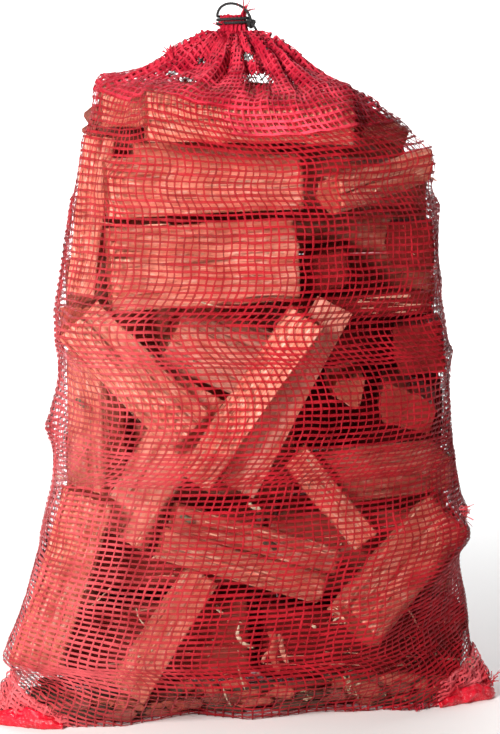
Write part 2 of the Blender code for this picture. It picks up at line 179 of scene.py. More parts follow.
class LogShape:
    """One log of the frame, with its long axis found."""

    def __init__(self, node):
        mesh = node.data
        self.points = np.array([vert.co for vert in mesh.vertices])
        mesh.calc_loop_triangles()
        triangles = [tuple(triangle.vertices) for triangle in mesh.loop_triangles]
        self.tree = BVHTree.FromPolygons([Vector(point) for point in self.points], triangles)
        self.middle = (self.points.min(0) + self.points.max(0)) / 2
        spread = self.points - self.points.mean(0)
        axis = np.linalg.svd(spread, full_matrices=False)[2][0]
        reach = spread @ axis
        ends = (self.points[reach > reach.max() * 0.8].mean(0),
                self.points[reach < reach.min() * 0.8].mean(0))
        self.along = unit(ends[0] - ends[1])
        across = np.cross(self.along, (0.0, 1.0, 0.0))
        if np.linalg.norm(across) < 0.5:
            across = np.array((0.0, 0.0, 1.0)) - self.along * self.along[2]
        self.across = unit(across)
        self.back = np.cross(self.across, self.along)
        self.start = ends[1]
        self.length = np.linalg.norm(ends[0] - ends[1])

    def section(self, share, count):
        """The outline of the log at a share of its length, as evenly spaced points."""
        centre = self.start + self.along * self.length * share
        angles = np.linspace(0, 2 * math.pi, LOG_FEEL, endpoint=False)
        rim = np.zeros((LOG_FEEL, 3))
        for n, angle in enumerate(angles):
            out = self.across * math.cos(angle) + self.back * math.sin(angle)
            hit = self.tree.ray_cast(Vector(centre + out * 0.12), Vector(-out), 0.12)
            rim[n] = hit[0] if hit[0] else centre
        closed = np.vstack((rim, rim[:1]))
        steps = np.linalg.norm(np.diff(closed, axis=0), axis=1)
        walked = np.concatenate(([0], np.cumsum(steps)))
        even = np.linspace(0, walked[-1], count, endpoint=False)
        return np.stack([np.interp(even, walked, closed[:, axis]) for axis in range(3)], axis=1), centre


def ramp(values, width):
    """From 0 to 1 as the values pass from nothing to the width."""
    share = np.clip(values / width, 0, 1)
    return share * share * (3 - 2 * share)


def torn_sides(rng, size):
    """How far each point of a log's sides stands back, and where it is cracked."""
    along = np.linspace(0, 1, size[0])[:, None]
    around = np.arange(size[1])[None, :] / size[1]
    fibres = 0.5 + 0.5 * smooth_noise(rng, size, (3, size[1] // 3))
    strands = 0.5 + 0.5 * smooth_noise(rng, size, (4, 16))
    depth = GRAIN_DEPTH * (0.5 * fibres ** 2 + 0.5 * strands)
    for _ in range(8):
        middle, half = rng.uniform(0, 1), rng.uniform(0.02, 0.08)
        start, end = sorted(rng.uniform(-0.4, 1.4, 2))
        bend = 0.015 * np.sin(along * rng.uniform(3, 9) + rng.uniform(0, 6))
        off = np.abs((around - middle + bend + 0.5) % 1 - 0.5)
        inside = ramp(half - off, 0.010) * ramp(along - start, 0.05) * ramp(end - along, 0.05)
        depth = depth + FLAKE_DEPTH * rng.uniform(0.3, 1.0) * inside
    crack = np.zeros(size)
    for _ in range(rng.randint(2, 6)):
        middle = rng.uniform(0, 1)
        start = rng.uniform(-0.2, 0.7)
        length = rng.uniform(0.25, 0.8)
        bend = 0.012 * np.sin(along * rng.uniform(4, 11) + rng.uniform(0, 6))
        off = np.abs((around - middle + bend + 0.5) % 1 - 0.5)
        taper = ramp(along - start, 0.15) * ramp(start + length - along, 0.15)
        crack = np.maximum(crack, np.exp(-(off / 0.009) ** 2) * taper)
    return depth + CRACK_DEPTH * crack, crack


def split_log(name, node, seed):
    """A log with torn fibres along its faces, ragged edges and sawn ends."""
    rng = np.random.RandomState(seed)
    log = name.replace("split_", "")
    group = log.split("_")[0]
    stations, around = LOG_DETAIL[group]
    shape = LogShape(node)
    rings = []
    centres = []
    for share in np.linspace(0.012, 0.988, stations):
        ring, centre = shape.section(share, around)
        rings.append(ring)
        centres.append(centre)
    rings = np.array(rings)
    centres = np.array(centres)[:, None, :]
    inward = unit(centres - rings)
    depth, crack = torn_sides(rng, rings.shape[:2])
    if group == "back":
        depth = depth * 0.5 - SWELL
        stretch = np.linspace(-1, 1, stations)[:, None, None] * LENGTHEN
        rings = rings + shape.along * stretch
    rings = rings + inward * depth[..., None]
    ragged = np.abs(rng.uniform(-1, 1, (2, around, 1))) * END_RAGGED
    rings[0] += shape.along * ragged[0]
    rings[-1] -= shape.along * ragged[1]
    faces = []
    for end in (0, -1):
        centre = rings[end].mean(0)
        face = []
        for share in END_RINGS:
            ring = centre + (rings[end] - centre) * share
            face.append(ring + shape.along * rng.uniform(-0.25, 0.25, (around, 1)) * MM)
        faces.append(np.array(face))
    layers = np.concatenate((faces[0][::-1], rings, faces[1]))
    mesh, verts = closed_mesh(name, layers)
    local = verts - shape.middle
    pith = rng.uniform(-0.5, 0.5, 2) * 0.02 + rng.choice((-1, 1), 2) * 0.045
    place = np.stack([local @ shape.across - pith[0], local @ shape.back - pith[1], local @ shape.along],
                     axis=1)
    end_points = len(END_RINGS) * around
    sides = np.zeros((len(layers), around))
    sides[len(END_RINGS):-len(END_RINGS)] = crack
    cracked = np.append(sides.ravel(), (0, 0))
    sawn = np.zeros(len(verts))
    sawn[:end_points] = 1
    sawn[-2 - end_points:] = 1
    bark = np.zeros(len(verts))
    if log in BARKED:
        facing = np.array([vert.normal.y for vert in mesh.vertices])
        bark = np.clip((facing - 0.25) / 0.25, 0, 1) * (1 - sawn)
    # the log's tone: painted shade below 0, painted light above 0
    tone = LOG_LIGHT_AND_SHADE.get(log, rng.uniform(*HIDDEN_LOG_LIGHT_AND_SHADE))
    write_values(mesh, "place", place)
    write_values(mesh, "sawn", sawn)
    write_values(mesh, "bark", bark)
    write_values(mesh, "crack", cracked)
    write_values(mesh, "tone", np.full(len(verts), tone))
    write_values(mesh, "chance", np.full(len(verts), rng.uniform(0, 1)))
    return mesh


def new_material(name):
    material = bpy.data.materials.new(name)
    material.use_nodes = True
    nodes = material.node_tree.nodes
    return material, nodes, material.node_tree.links, nodes["Principled BSDF"]


def node_group(name, inputs, outputs):
    group = bpy.data.node_groups.new(name, "ShaderNodeTree")
    for label, kind, value in inputs:
        socket = group.interface.new_socket(label, in_out="INPUT", socket_type=kind)
        socket.default_value = value
    for label, kind in outputs:
        group.interface.new_socket(label, in_out="OUTPUT", socket_type=kind)
    given = group.nodes.new("NodeGroupInput")
    result = group.nodes.new("NodeGroupOutput")
    return group, group.nodes, group.links, given, result


def math_node(nodes, links, operation, first, second=None, third=None, clamp=False):
    node = nodes.new("ShaderNodeMath")
    node.operation = operation
    node.use_clamp = clamp
    for slot, value in enumerate((first, second, third)):
        if value is None:
            continue
        if isinstance(value, (int, float)):
            node.inputs[slot].default_value = value
        else:
            links.new(value, node.inputs[slot])
    return node.outputs[0]


def mix_colours(nodes, links, share, first, second):
    node = nodes.new("ShaderNodeMix")
    node.data_type = "RGBA"
    for socket, value in ((node.inputs[0], share), (node.inputs[6], first), (node.inputs[7], second)):
        if isinstance(value, (int, float)):
            socket.default_value = value
        elif isinstance(value, tuple):
            socket.default_value = (*value, 1.0)
        else:
            links.new(value, socket)
    return node.outputs[2]


def noise_node(nodes, links, vector, scale, detail=3.0, roughness=0.55):
    node = nodes.new("ShaderNodeTexNoise")
    node.inputs["Scale"].default_value = scale
    node.inputs["Detail"].default_value = detail
    node.inputs["Roughness"].default_value = roughness
    links.new(vector, node.inputs["Vector"])
    return node.outputs["Fac"]


def stretched(nodes, links, vector, scale):
    node = nodes.new("ShaderNodeVectorMath")
    node.operation = "MULTIPLY"
    links.new(vector, node.inputs[0])
    node.inputs[1].default_value = scale
    return node.outputs[0]


def spread_node(nodes, links, value, low, high, to_low=0.0, to_high=1.0):
    node = nodes.new("ShaderNodeMapRange")
    node.clamp = True
    links.new(value, node.inputs[0])
    for slot, number in zip((1, 2, 3, 4), (low, high, to_low, to_high)):
        node.inputs[slot].default_value = number
    return node.outputs[0]


def attribute_node(nodes, name, output="Fac"):
    node = nodes.new("ShaderNodeAttribute")
    node.attribute_name = name
    return node.outputs[output]


def bump_node(nodes, links, height, strength, distance):
    node = nodes.new("ShaderNodeBump")
    node.inputs["Strength"].default_value = strength
    node.inputs["Distance"].default_value = distance
    links.new(height, node.inputs["Height"])
    return node.outputs[0]


def wood_grain_group():
    """Growth rings round the pith and fibres along the log, from the place inside the log."""
    group, nodes, links, given, result = node_group(
        "wood grain",
        [("Place", "NodeSocketVector", (0, 0, 0)), ("Ring Width", "NodeSocketFloat", 0.0034)],
        [("Rings", "NodeSocketFloat"), ("Fibres", "NodeSocketFloat"), ("Streaks", "NodeSocketFloat"),
         ("Gashes", "NodeSocketFloat"), ("Height", "NodeSocketFloat")])
    place = given.outputs["Place"]
    wander = noise_node(nodes, links, stretched(nodes, links, place, (1, 1, 0.25)), 22.0, 2.0)
    split = nodes.new("ShaderNodeSeparateXYZ")
    links.new(place, split.inputs[0])
    across = math_node(nodes, links, "MULTIPLY", split.outputs[0], split.outputs[0])
    deep = math_node(nodes, links, "MULTIPLY", split.outputs[1], split.outputs[1])
    radius = math_node(nodes, links, "SQRT", math_node(nodes, links, "ADD", across, deep))
    radius = math_node(nodes, links, "MULTIPLY_ADD", wander, 0.011, radius)
    turns = math_node(nodes, links, "DIVIDE", radius, given.outputs["Ring Width"])
    rings = math_node(nodes, links, "POWER", math_node(nodes, links, "FRACT", turns), 3.0)
    fibres = noise_node(nodes, links, stretched(nodes, links, place, (1, 1, 0.035)), 700.0, 4.0, 0.65)
    streaks = noise_node(nodes, links, stretched(nodes, links, place, (1, 1, 0.07)), 120.0, 4.0, 0.6)
    gash = noise_node(nodes, links, stretched(nodes, links, place, (1, 1, 0.05)), 260.0, 3.0, 0.6)
    gashes = spread_node(nodes, links, gash, 0.58, 0.68)
    height = math_node(nodes, links, "ADD", math_node(nodes, links, "MULTIPLY", fibres, 0.6),
                       math_node(nodes, links, "MULTIPLY", streaks, 0.9))
    height = math_node(nodes, links, "SUBTRACT", height, math_node(nodes, links, "MULTIPLY", gashes, 0.9))
    for label, value in (("Rings", rings), ("Fibres", fibres), ("Streaks", streaks), ("Gashes", gashes),
                         ("Height", height)):
        links.new(value, result.inputs[label])
    return group


GRAIN_GROUP = wood_grain_group()


def wear_group():
    """Broad patches and fine specks over a surface, from its place, for every material that isn't a log's."""
    group, nodes, links, given, result = node_group(
        "patches and specks",
        [("Place", "NodeSocketVector", (0, 0, 0)), ("Patch Scale", "NodeSocketFloat", 30.0),
         ("Speck Scale", "NodeSocketFloat", 900.0)],
        [("Patches", "NodeSocketFloat"), ("Specks", "NodeSocketFloat")])
    for label, scale in (("Patches", "Patch Scale"), ("Specks", "Speck Scale")):
        noise = nodes.new("ShaderNodeTexNoise")
        noise.inputs["Detail"].default_value = 3.0
        links.new(given.outputs["Place"], noise.inputs["Vector"])
        links.new(given.outputs[scale], noise.inputs["Scale"])
        links.new(noise.outputs["Fac"], result.inputs[label])
    return group


WEAR_GROUP = wear_group()


def wear_masks(nodes, links, patch_scale, speck_scale):
    wear = nodes.new("ShaderNodeGroup")
    wear.node_tree = WEAR_GROUP
    place = nodes.new("ShaderNodeTexCoord").outputs["Object"]
    links.new(place, wear.inputs["Place"])
    wear.inputs["Patch Scale"].default_value = patch_scale
    wear.inputs["Speck Scale"].default_value = speck_scale
    return wear.outputs["Patches"], wear.outputs["Specks"], place


def split_wood_material():
    """Riven wood: pale to salmon along the fibres, browner where weathered, grey-brown bark, sawn ends.
    Painted shade darkens its cracks, its torn grooves and the logs with a low tone, painted light pales the
    logs with a high tone, and part of the salmon is painted red light from the net.
    """
    material, nodes, links, shader = new_material("split wood with bark")
    place = attribute_node(nodes, "place", "Vector")
    sawn = attribute_node(nodes, "sawn")
    bark = attribute_node(nodes, "bark")
    tone = attribute_node(nodes, "tone")
    chance = attribute_node(nodes, "chance")
    crack = attribute_node(nodes, "crack")
    grain = nodes.new("ShaderNodeGroup")
    grain.node_tree = GRAIN_GROUP
    links.new(place, grain.inputs["Place"])

    def share(value, amount):
        return math_node(nodes, links, "MULTIPLY", value, amount, clamp=True)

    fibre_mask = spread_node(nodes, links, grain.outputs["Fibres"], 0.3, 0.7)
    streak_mask = spread_node(nodes, links, grain.outputs["Streaks"], 0.35, 0.68)
    # the salmon of these colours is partly the wood's own and partly painted red light that comes through and
    # off the net
    base = mix_colours(nodes, links, streak_mask, (0.60, 0.095, 0.058), (0.96, 0.285, 0.195))
    base = mix_colours(nodes, links, share(grain.outputs["Rings"], 0.4), base, (0.36, 0.060, 0.034))
    base = mix_colours(nodes, links, share(fibre_mask, 0.4), base, (0.99, 0.40, 0.295))
    # painted light: a log with a high tone is paler along its streaks
    pale = math_node(nodes, links, "MULTIPLY", share(tone, 0.8), streak_mask)
    base = mix_colours(nodes, links, pale, base, (0.99, 0.47, 0.37))
    # painted shade in the torn grooves
    base = mix_colours(nodes, links, share(grain.outputs["Gashes"], 0.7), base, (0.17, 0.026, 0.016))
    fleck = noise_node(nodes, links, stretched(nodes, links, place, (1, 1, 0.22)), 330.0, 3.0, 0.6)
    pale_fleck = spread_node(nodes, links, fleck, 0.56, 0.66, 0.0, 0.75)
    base = mix_colours(nodes, links, pale_fleck, base, (0.99, 0.56, 0.45))
    dark_fleck = spread_node(nodes, links, fleck, 0.44, 0.34, 0.0, 0.55)
    base = mix_colours(nodes, links, dark_fleck, base, (0.34, 0.045, 0.028))
    blotch = noise_node(nodes, links, place, 26.0, 3.0)
    shifted = math_node(nodes, links, "MULTIPLY_ADD", chance, 0.25, blotch)
    blotch_mask = spread_node(nodes, links, shifted, 0.62, 0.85)
    base = mix_colours(nodes, links, share(blotch_mask, 0.5), base, (0.40, 0.085, 0.050))
    # painted shade in the cracks, nearly black
    base = mix_colours(nodes, links, share(crack, 0.85), base, (0.07, 0.020, 0.012))
    saw_marks = noise_node(nodes, links, stretched(nodes, links, place, (1.0, 0.08, 1.0)), 420.0, 2.0)
    sawn_colour = mix_colours(nodes, links, share(grain.outputs["Rings"], 0.6), (0.52, 0.12, 0.075),
                              (0.26, 0.045, 0.028))
    sawn_colour = mix_colours(nodes, links, share(saw_marks, 0.5), sawn_colour, (0.30, 0.06, 0.04))
    base = mix_colours(nodes, links, sawn, base, sawn_colour)
    # painted shade: a log with a low tone turns a dull dark red, as in the shade under the red net
    dull = mix_colours(nodes, links, share(fibre_mask, 0.5), (0.17, 0.011, 0.010), (0.28, 0.030, 0.025))
    base = mix_colours(nodes, links, share(tone, -0.9), base, dull)
    # painted deep shade: below a tone of -1 the log goes nearly black
    deep = math_node(nodes, links, "MULTIPLY_ADD", tone, -1.6, -1.6, clamp=True)
    base = mix_colours(nodes, links, deep, base, (0.060, 0.005, 0.005))
    crust = noise_node(nodes, links, stretched(nodes, links, place, (1, 1, 0.45)), 160.0, 5.0, 0.65)
    crust_mask = spread_node(nodes, links, crust, 0.35, 0.65)
    bark_colour = mix_colours(nodes, links, crust_mask, (0.055, 0.035, 0.025), (0.22, 0.15, 0.11))
    moss = spread_node(nodes, links, noise_node(nodes, links, place, 45.0, 3.0), 0.58, 0.7, 0.0, 0.5)
    bark_colour = mix_colours(nodes, links, moss, bark_colour, (0.20, 0.21, 0.12))
    base = mix_colours(nodes, links, bark, base, bark_colour)
    links.new(base, shader.inputs["Base Color"])
    links.new(spread_node(nodes, links, fibre_mask, 0.0, 1.0, 0.85, 0.62), shader.inputs["Roughness"])
    shader.inputs["Specular IOR Level"].default_value = 0.15
    shader.inputs["Specular Tint"].default_value = (1.0, 0.5, 0.45, 1.0)
    crust_height = math_node(nodes, links, "MULTIPLY", math_node(nodes, links, "MULTIPLY", crust, bark), 3.0)
    height = math_node(nodes, links, "ADD", grain.outputs["Height"], crust_height)
    links.new(bump_node(nodes, links, height, 0.8, 0.0012), shader.inputs["Normal"])
    return material


WOOD = split_wood_material()
LOG_SEED = 500
log_names = sorted(name for name in frame["nodes"] if "_log_" in name)
for number, log_name in enumerate(log_names):
    log_mesh = split_log("split_" + log_name, frame["nodes"][log_name], LOG_SEED + number)
    add_piece("split_" + log_name, log_mesh, WOOD, (log_name,))


def wood_tree():
    verts = []
    faces = []
    for name in log_names:
        mesh = bpy.data.objects["split_" + name].data
        base = len(verts)
        verts += [vert.co.copy() for vert in mesh.vertices]
        faces += [[base + i for i in polygon.vertices] for polygon in mesh.polygons]
    return BVHTree.FromPolygons(verts, faces)


WOOD_TREE = wood_tree()

# The net sack. A tube of red plastic tape, woven open: flat tapes run round it, and narrower ones up and
# down. It is sewn shut along the bottom, filled, and gathered at the neck, so it lies taut on the logs, is
# pulled out to its two sewn corners, and bunches in folds near the tie.

WARPS = 140                       # tapes that run up and down
WEFT_PITCH = 7.0 * MM             # between two tapes that run round
WEFT_WIDTH = 2.5 * MM
WARP_WIDTH = 1.7 * MM
TAPE_THICK = 0.3 * MM
WEAVE = 0.3 * MM                  # how far a tape passes over or under the others
FINE = 2                          # points of a tape between two crossings
NET_OFF = 1.0 * MM                # from the wood to the middle of the net
SEAM_HIGH = TAPE_THICK + WEAVE + 0.1 * MM
SIDE_LOW = 0.012
SIDE_HIGH = 0.500                 # where the level rings end and the tent begins
SIDE_LEVELS = 132
TENT_LEVELS = 60
RING_POINTS = 264
REACH = 0.6                       # where the rays that feel for the wood start
HOOP_PULL = 0.6                   # share of the net's pull that runs round the sack
PLEAT_DEPTH = 0.0085              # of the folds near the tie
GATHER_HIGH = 0.52                # up to here along the net, its sides are gathered by the sewn corners
# how far the sack's edge stands out at each height, left and right of the middle of the view
LEFT_EDGE = ((0.000, 0.243), (0.030, 0.236), (0.066, 0.222), (0.104, 0.211), (0.170, 0.207), (0.200, 0.199),
             (0.230, 0.191), (0.252, 0.195), (0.272, 0.203), (0.290, 0.196), (0.323, 0.186), (0.384, 0.193),
             (0.436, 0.184), (0.500, 0.175))
RIGHT_EDGE = ((0.000, 0.245), (0.020, 0.236), (0.053, 0.217), (0.100, 0.215), (0.147, 0.203), (0.170, 0.208),
              (0.188, 0.217), (0.206, 0.209), (0.249, 0.201), (0.309, 0.196), (0.333, 0.197), (0.347, 0.201),
              (0.360, 0.194), (0.380, 0.186), (0.417, 0.189), (0.450, 0.182), (0.492, 0.187), (0.500, 0.182))
# where the sack's base ends at the front: across from the middle of the view, and forward of it below 0
HEM_EDGE = ((-0.243, -0.100), (-0.205, -0.131), (-0.150, -0.130), (-0.120, -0.128), (-0.090, -0.105),
            (-0.058, -0.082), (-0.028, -0.094), (0.000, -0.105), (0.030, -0.092), (0.062, -0.074),
            (0.100, -0.074), (0.130, -0.066), (0.158, -0.070), (0.185, -0.054), (0.215, -0.026),
            (0.244, 0.006))
EAR_ANGLES = (math.radians(205), math.radians(357))       # where round the sack its corners stick out
SIDE_ANGLES = (math.radians(182), math.radians(359.5))    # where its edges are in the view, higher up
EAR_HIGH = 0.22                   # above this the edges stand straight left and right

CAMERA_DISTANCE = 2.5
CAMERA_RISE = math.radians(7)
LENS = 123.9
SENSOR = 36.0
PHOTO_WIDE, PHOTO_HIGH = 500, 734
VIEW_HIGH = 0.331                 # the middle of the view
# torn windows in the gathered net: the middle and half the size, in pixels of the photograph
WINDOWS = ((172, 73, 6, 3), (186, 80, 7, 4), (201, 61, 4, 4), (249, 57, 6, 5), (259, 79, 12, 7),
           (420, 172, 7, 5))

TENT_HIGH = (0.575, 0.635)        # between these heights the tape turns crimson
BUNCH_HIGH = 5 * MM               # how much higher than the first layer the bunched folds stand
BUNCH_OUT = 0.030                 # as far as this from the tie they stand that high
# the further layers round the tie: from which height up, how many columns aside, and how far off in mm
FOLDS = ((0.585, 7, 0.8), (0.612, 3, 1.6), (0.632, 11, 2.2))
BUNCHES = ((0.606, 5, 0.6), (0.622, 9, 1.6))


def neck_centre():
    """The middle of the sack's mouth, from the highest points of its solid."""
    points = np.array([vert.co for vert in frame["nodes"]["net_sack"].data.vertices])
    top = points[points[:, 2] > points[:, 2].max() - 0.004]
    return np.append((top[:, :2].min(0) + top[:, :2].max(0)) / 2, top[:, 2].max())


NECK = neck_centre()
NECK_RADIUS = 12.6 * MM
NECK_LOW = NECK[2] - 0.0202       # where the tent ends and the neck begins
VIEW_X = NECK[0] + 0.016          # the middle of the view
EYE = Vector((VIEW_X, NECK[1] - 0.004, VIEW_HIGH))
EYE += Vector((0, -math.cos(CAMERA_RISE), math.sin(CAMERA_RISE))) * CAMERA_DISTANCE
EYE_LEVEL_Y = NECK[1] - 0.004     # what the photograph's depths are measured from
FOCUS = LENS / SENSOR * PHOTO_HIGH
AXIS = np.array((NECK[0] + 0.020, NECK[1] - 0.004, 0.0))
ANGLES = np.linspace(0, 2 * math.pi, RING_POINTS, endpoint=False) + math.pi


def skin_rays():
    """Where the rays that feel for the wood start and point: level rings, then a fan into the neck."""
    flat = np.stack([np.cos(ANGLES), np.sin(ANGLES), np.zeros(RING_POINTS)], axis=1)
    origins = []
    directions = []
    for height in np.linspace(SIDE_LOW, SIDE_HIGH, SIDE_LEVELS):
        origins.append(np.tile((AXIS[0], AXIS[1], height), (RING_POINTS, 1)))
        directions.append(flat)
    for step in range(1, TENT_LEVELS + 1):
        share = step / (TENT_LEVELS + 1)
        middle = AXIS * (1 - share) + np.array((NECK[0], NECK[1], 0)) * share
        rise = share * math.pi / 2
        origins.append(np.tile((middle[0], middle[1], SIDE_HIGH), (RING_POINTS, 1)))
        directions.append(flat * math.cos(rise) + np.array((0, 0, math.sin(rise))))
    return np.array(origins), np.array(directions)


def feel_wood(origins, directions):
    reach = np.zeros(origins.shape[:2])
    for row in range(origins.shape[0]):
        for column in range(origins.shape[1]):
            out = Vector(directions[row, column])
            hit = WOOD_TREE.ray_cast(Vector(origins[row, column]) + out * REACH, -out, REACH)
            if hit[0] is not None:
                reach[row, column] = REACH - hit[3]
    return reach


def edge_ridges(origins, reach):
    """Holds the skin out to the sack's edge along one line on the left and one on the right."""
    held = reach.copy()
    for n, (edge, side) in enumerate(((LEFT_EDGE, -1), (RIGHT_EDGE, 1))):
        heights, outs = np.array(edge).T
        for row in range(SIDE_LEVELS):
            height = origins[row, 0, 2]
            level = ramp(height, EAR_HIGH)
            angle = EAR_ANGLES[n] * (1 - level) + SIDE_ANGLES[n] * level
            wanted = VIEW_X + side * np.interp(height, heights, outs) - origins[row, 0, 0]
            column = int(round((angle - math.pi) / (2 * math.pi) * RING_POINTS)) % RING_POINTS
            for near in (-1, 0, 1):
                place = (row, (column + near) % RING_POINTS)
                held[place] = max(held[place], wanted / math.cos(angle) - abs(near) * MM)
    return held


def widest(values, rows, columns):
    """The largest value within so many rows and columns."""
    best = values.copy()
    for row in range(-rows, rows + 1):
        rolled = np.roll(values, row, axis=0)
        if row > 0:
            rolled[:row] = values[:row]
        if row < 0:
            rolled[row:] = values[row:]
        for column in range(-columns, columns + 1):
            best = np.maximum(best, np.roll(rolled, column, axis=1))
    return best


def pull_taut(origins, directions, reach, neck, rounds, length=None):
    """Shrinks a skin onto the wood: each point moves along its own ray to between its neighbours."""
    if length is None:
        length = np.maximum(reach, 0.12)
    for _ in range(rounds):
        points = origins + directions * length[..., None]
        hoop = (np.roll(points, 1, axis=1) + np.roll(points, -1, axis=1)) / 2
        above = np.concatenate((points[1:], neck[None]))
        below = np.concatenate((points[:1] - np.array((0, 0, 0.004)), points[:-1]))
        pulled = HOOP_PULL * hoop + (1 - HOOP_PULL) * (above + below) / 2
        length = np.maximum(reach, ((pulled - origins) * directions).sum(axis=2))
    return length


def finer(length, last_rows, last_columns, rows, columns):
    """The lengths of a coarse grid of rays, read off at the rows and columns of a finer one."""
    start = np.zeros((len(rows), len(columns)))
    old_columns = np.append(last_columns, RING_POINTS)
    for n, row in enumerate(rows):
        side = np.array([np.interp(row, last_rows, length[:, c]) for c in range(length.shape[1])])
        start[n] = np.interp(columns, old_columns, np.append(side, side[0]))
    return start


def taut_skin():
    """The taut skin on the wood, found on a coarse grid first and then on finer ones."""
    origins, directions = skin_rays()
    reach = edge_ridges(origins, widest(feel_wood(origins, directions), 1, 1) + NET_OFF)
    neck = np.stack([NECK[0] + NECK_RADIUS * np.cos(ANGLES), NECK[1] + NECK_RADIUS * np.sin(ANGLES),
                     np.full(RING_POINTS, NECK_LOW)], axis=1)
    length = None
    for skip, rounds in ((8, 700), (4, 400), (2, 250), (1, 160)):
        rows = np.unique(np.append(np.arange(0, len(origins), skip), len(origins) - 1))
        columns = np.arange(0, RING_POINTS, skip)
        block = np.ix_(rows, columns)
        kept = widest(reach, skip // 2, skip // 2)[block]
        if length is not None:
            coarse = finer(length, last_rows, last_columns, rows, columns)
            length = np.maximum(kept, coarse - 2 * MM)
        length = pull_taut(origins[block], directions[block], kept, neck[columns], rounds, length)
        last_rows, last_columns = rows, columns
    return origins + directions * length[..., None], neck


def evenly_round(points, count, seed):
    """The same rings with points evenly spaced round them, wandering a little."""
    rng = np.random.RandomState(seed)
    wander = 0.9 * smooth_noise(rng, (len(points), count), (9, 22))
    wander += 0.5 * smooth_noise(rng, (len(points), count), (30, 60))
    wander += 0.35 * smooth_noise(rng, (len(points), count), (90, 140))
    result = np.zeros((len(points), count, 3))
    for row, ring in enumerate(points):
        closed = np.vstack((ring, ring[:1]))
        walked = np.concatenate(([0], np.cumsum(np.linalg.norm(np.diff(closed, axis=0), axis=1))))
        spots = (np.arange(count) / count + wander[row] * 0.28 / WARPS) % 1.0 * walked[-1]
        for axis in range(3):
            result[row, :, axis] = np.interp(spots, walked, closed[:, axis])
    return result


def net_grid():
    """The crossings of the net, from the seam under the sack up to the neck, as rings of points."""
    skin, neck_ring = taut_skin()
    rings = evenly_round(np.concatenate((skin, neck_ring[None])), WARPS * FINE, 11)
    edge = rings[0].copy()
    edge[:, 2] = SEAM_HIGH
    ends = (edge[:, 0].argmin(), edge[:, 0].argmax())
    seam = edge.copy()
    seam[:, 1] = np.interp(edge[:, 0], edge[ends, 0], edge[ends, 1])
    inner = edge + (seam - edge) * 0.03
    rings = np.concatenate((inner[None], rings))
    under = np.linalg.norm(inner - seam, axis=1)
    steps = np.linalg.norm(np.diff(rings, axis=0), axis=2)
    climbed = np.concatenate(([0], np.cumsum(np.median(steps, axis=1))))
    deepest = np.percentile(under, 90)
    total = deepest + climbed[-1]
    count = (int(total / WEFT_PITCH) - 1) * FINE + 1
    way = np.linspace(0, total, count)[:, None]
    gathered = np.clip(1 - way / GATHER_HIGH, 0, 1) ** 1.3
    height = way - (under[None, :] * gathered + deepest * (1 - gathered))
    row = np.interp(height, climbed, np.arange(len(rings)))
    low = np.clip(row.astype(int), 0, len(rings) - 2)
    share = (row - low)[..., None]
    column = np.arange(rings.shape[1])[None, :]
    wall = rings[low, column] * (1 - share) + rings[low + 1, column] * share
    inward = np.clip(-height / np.maximum(under, 1e-4), 0, 1)[..., None]
    return wall * (1 - inward) + seam[None] * inward


def wavy_hem(points):
    """Moves the foot of the front to where the sack's base lies: forward over log ends, else back."""
    moved = points.copy()
    low = points[np.argmax(points[:, :, 2] > 0.006, axis=0), np.arange(points.shape[1])]
    front = np.arange(low[:, 0].argmin(), low[:, 0].argmax() + 1)
    across, forward = np.array(HEM_EDGE).T
    order = front[np.argsort(low[front, 0])]
    shift = np.interp(low[front, 0] - VIEW_X, across, forward) + EYE_LEVEL_Y - low[front, 1]
    from_left, from_right = low[front, 0] - low[order[0], 0], low[order[-1], 0] - low[front, 0]
    tips = ramp(from_left, 0.05) * ramp(from_right, 0.05)
    moved[:, front, 1] += shift * tips * (1 - ramp(points[:, front, 2], 0.045))
    return moved


def grid_normals(points):
    """Outward directions of a grid of rings."""
    up = np.gradient(points, axis=0)
    onward = np.roll(points, -1, axis=1) - np.roll(points, 1, axis=1)
    return unit(np.cross(onward, up))


def add_folds(points, seed):
    """Folds that run down from the tie, some slack all over, and wrinkles at the corners."""
    rng = np.random.RandomState(seed)
    rows, columns = points.shape[:2]
    out = grid_normals(points)
    height = points[..., 2]
    girth = np.linalg.norm(np.roll(points, -1, axis=1) - points, axis=2).sum(axis=1)
    tight = np.clip(1.0 - girth / 1.05, 0, 1)[:, None]
    turns = np.arange(columns) / columns * 2 * math.pi
    drift = smooth_noise(rng, (rows, columns), (6, 14))
    folds = np.sin(turns * 21 + drift * 4.0) + 0.7 * np.sin(turns * 34 + 1.3 + drift * 6.0)
    folds = folds + 0.9 * smooth_noise(rng, (rows, columns), (24, 46))
    lift = tight ** 1.6 * PLEAT_DEPTH * np.clip(girth[:, None] / 0.35, 0.12, 1.0) * (folds + 1.3)
    slack = 0.0014 * np.clip(smooth_noise(rng, (rows, columns), (26, 40)), 0, 1)
    fuzz = 0.0003 * smooth_noise(rng, (rows, columns), (rows // 2, columns // 2))
    for tip in (tip_of(points, -1), tip_of(points, 1)):
        away = points - tip
        distance = np.linalg.norm(away, axis=2)
        bearing = np.arctan2(away[..., 2], np.abs(away[..., 0]))
        ripple = np.sin(bearing * 26 + 1.5 * drift + np.sign(away[..., 1]) * 0.8)
        near = np.exp(-(distance / 0.085) ** 2) * np.clip(distance / 0.02, 0, 1)
        slack = slack + 0.0024 * (ripple + 0.6) * near
    off_floor = np.clip((height - 0.001) / 0.012, 0, 1)
    moved = points + out * ((lift + slack + fuzz) * off_floor)[..., None]
    sway = smooth_noise(rng, (rows, columns), (10, 9)) * 1.8
    sway = sway + smooth_noise(rng, (rows, columns), (44, 60)) * 0.7
    clear = np.clip((height - 0.03) / 0.05, 0, 1) * np.clip((NECK_LOW - height) / 0.05, 0, 1)
    moved[..., 2] += sway * MM * clear
    return moved


def tip_of(points, side):
    """The point of a grid that stands furthest out on one side."""
    flat = points.reshape(-1, 3)
    return flat[(flat[:, 0] * side).argmax()]


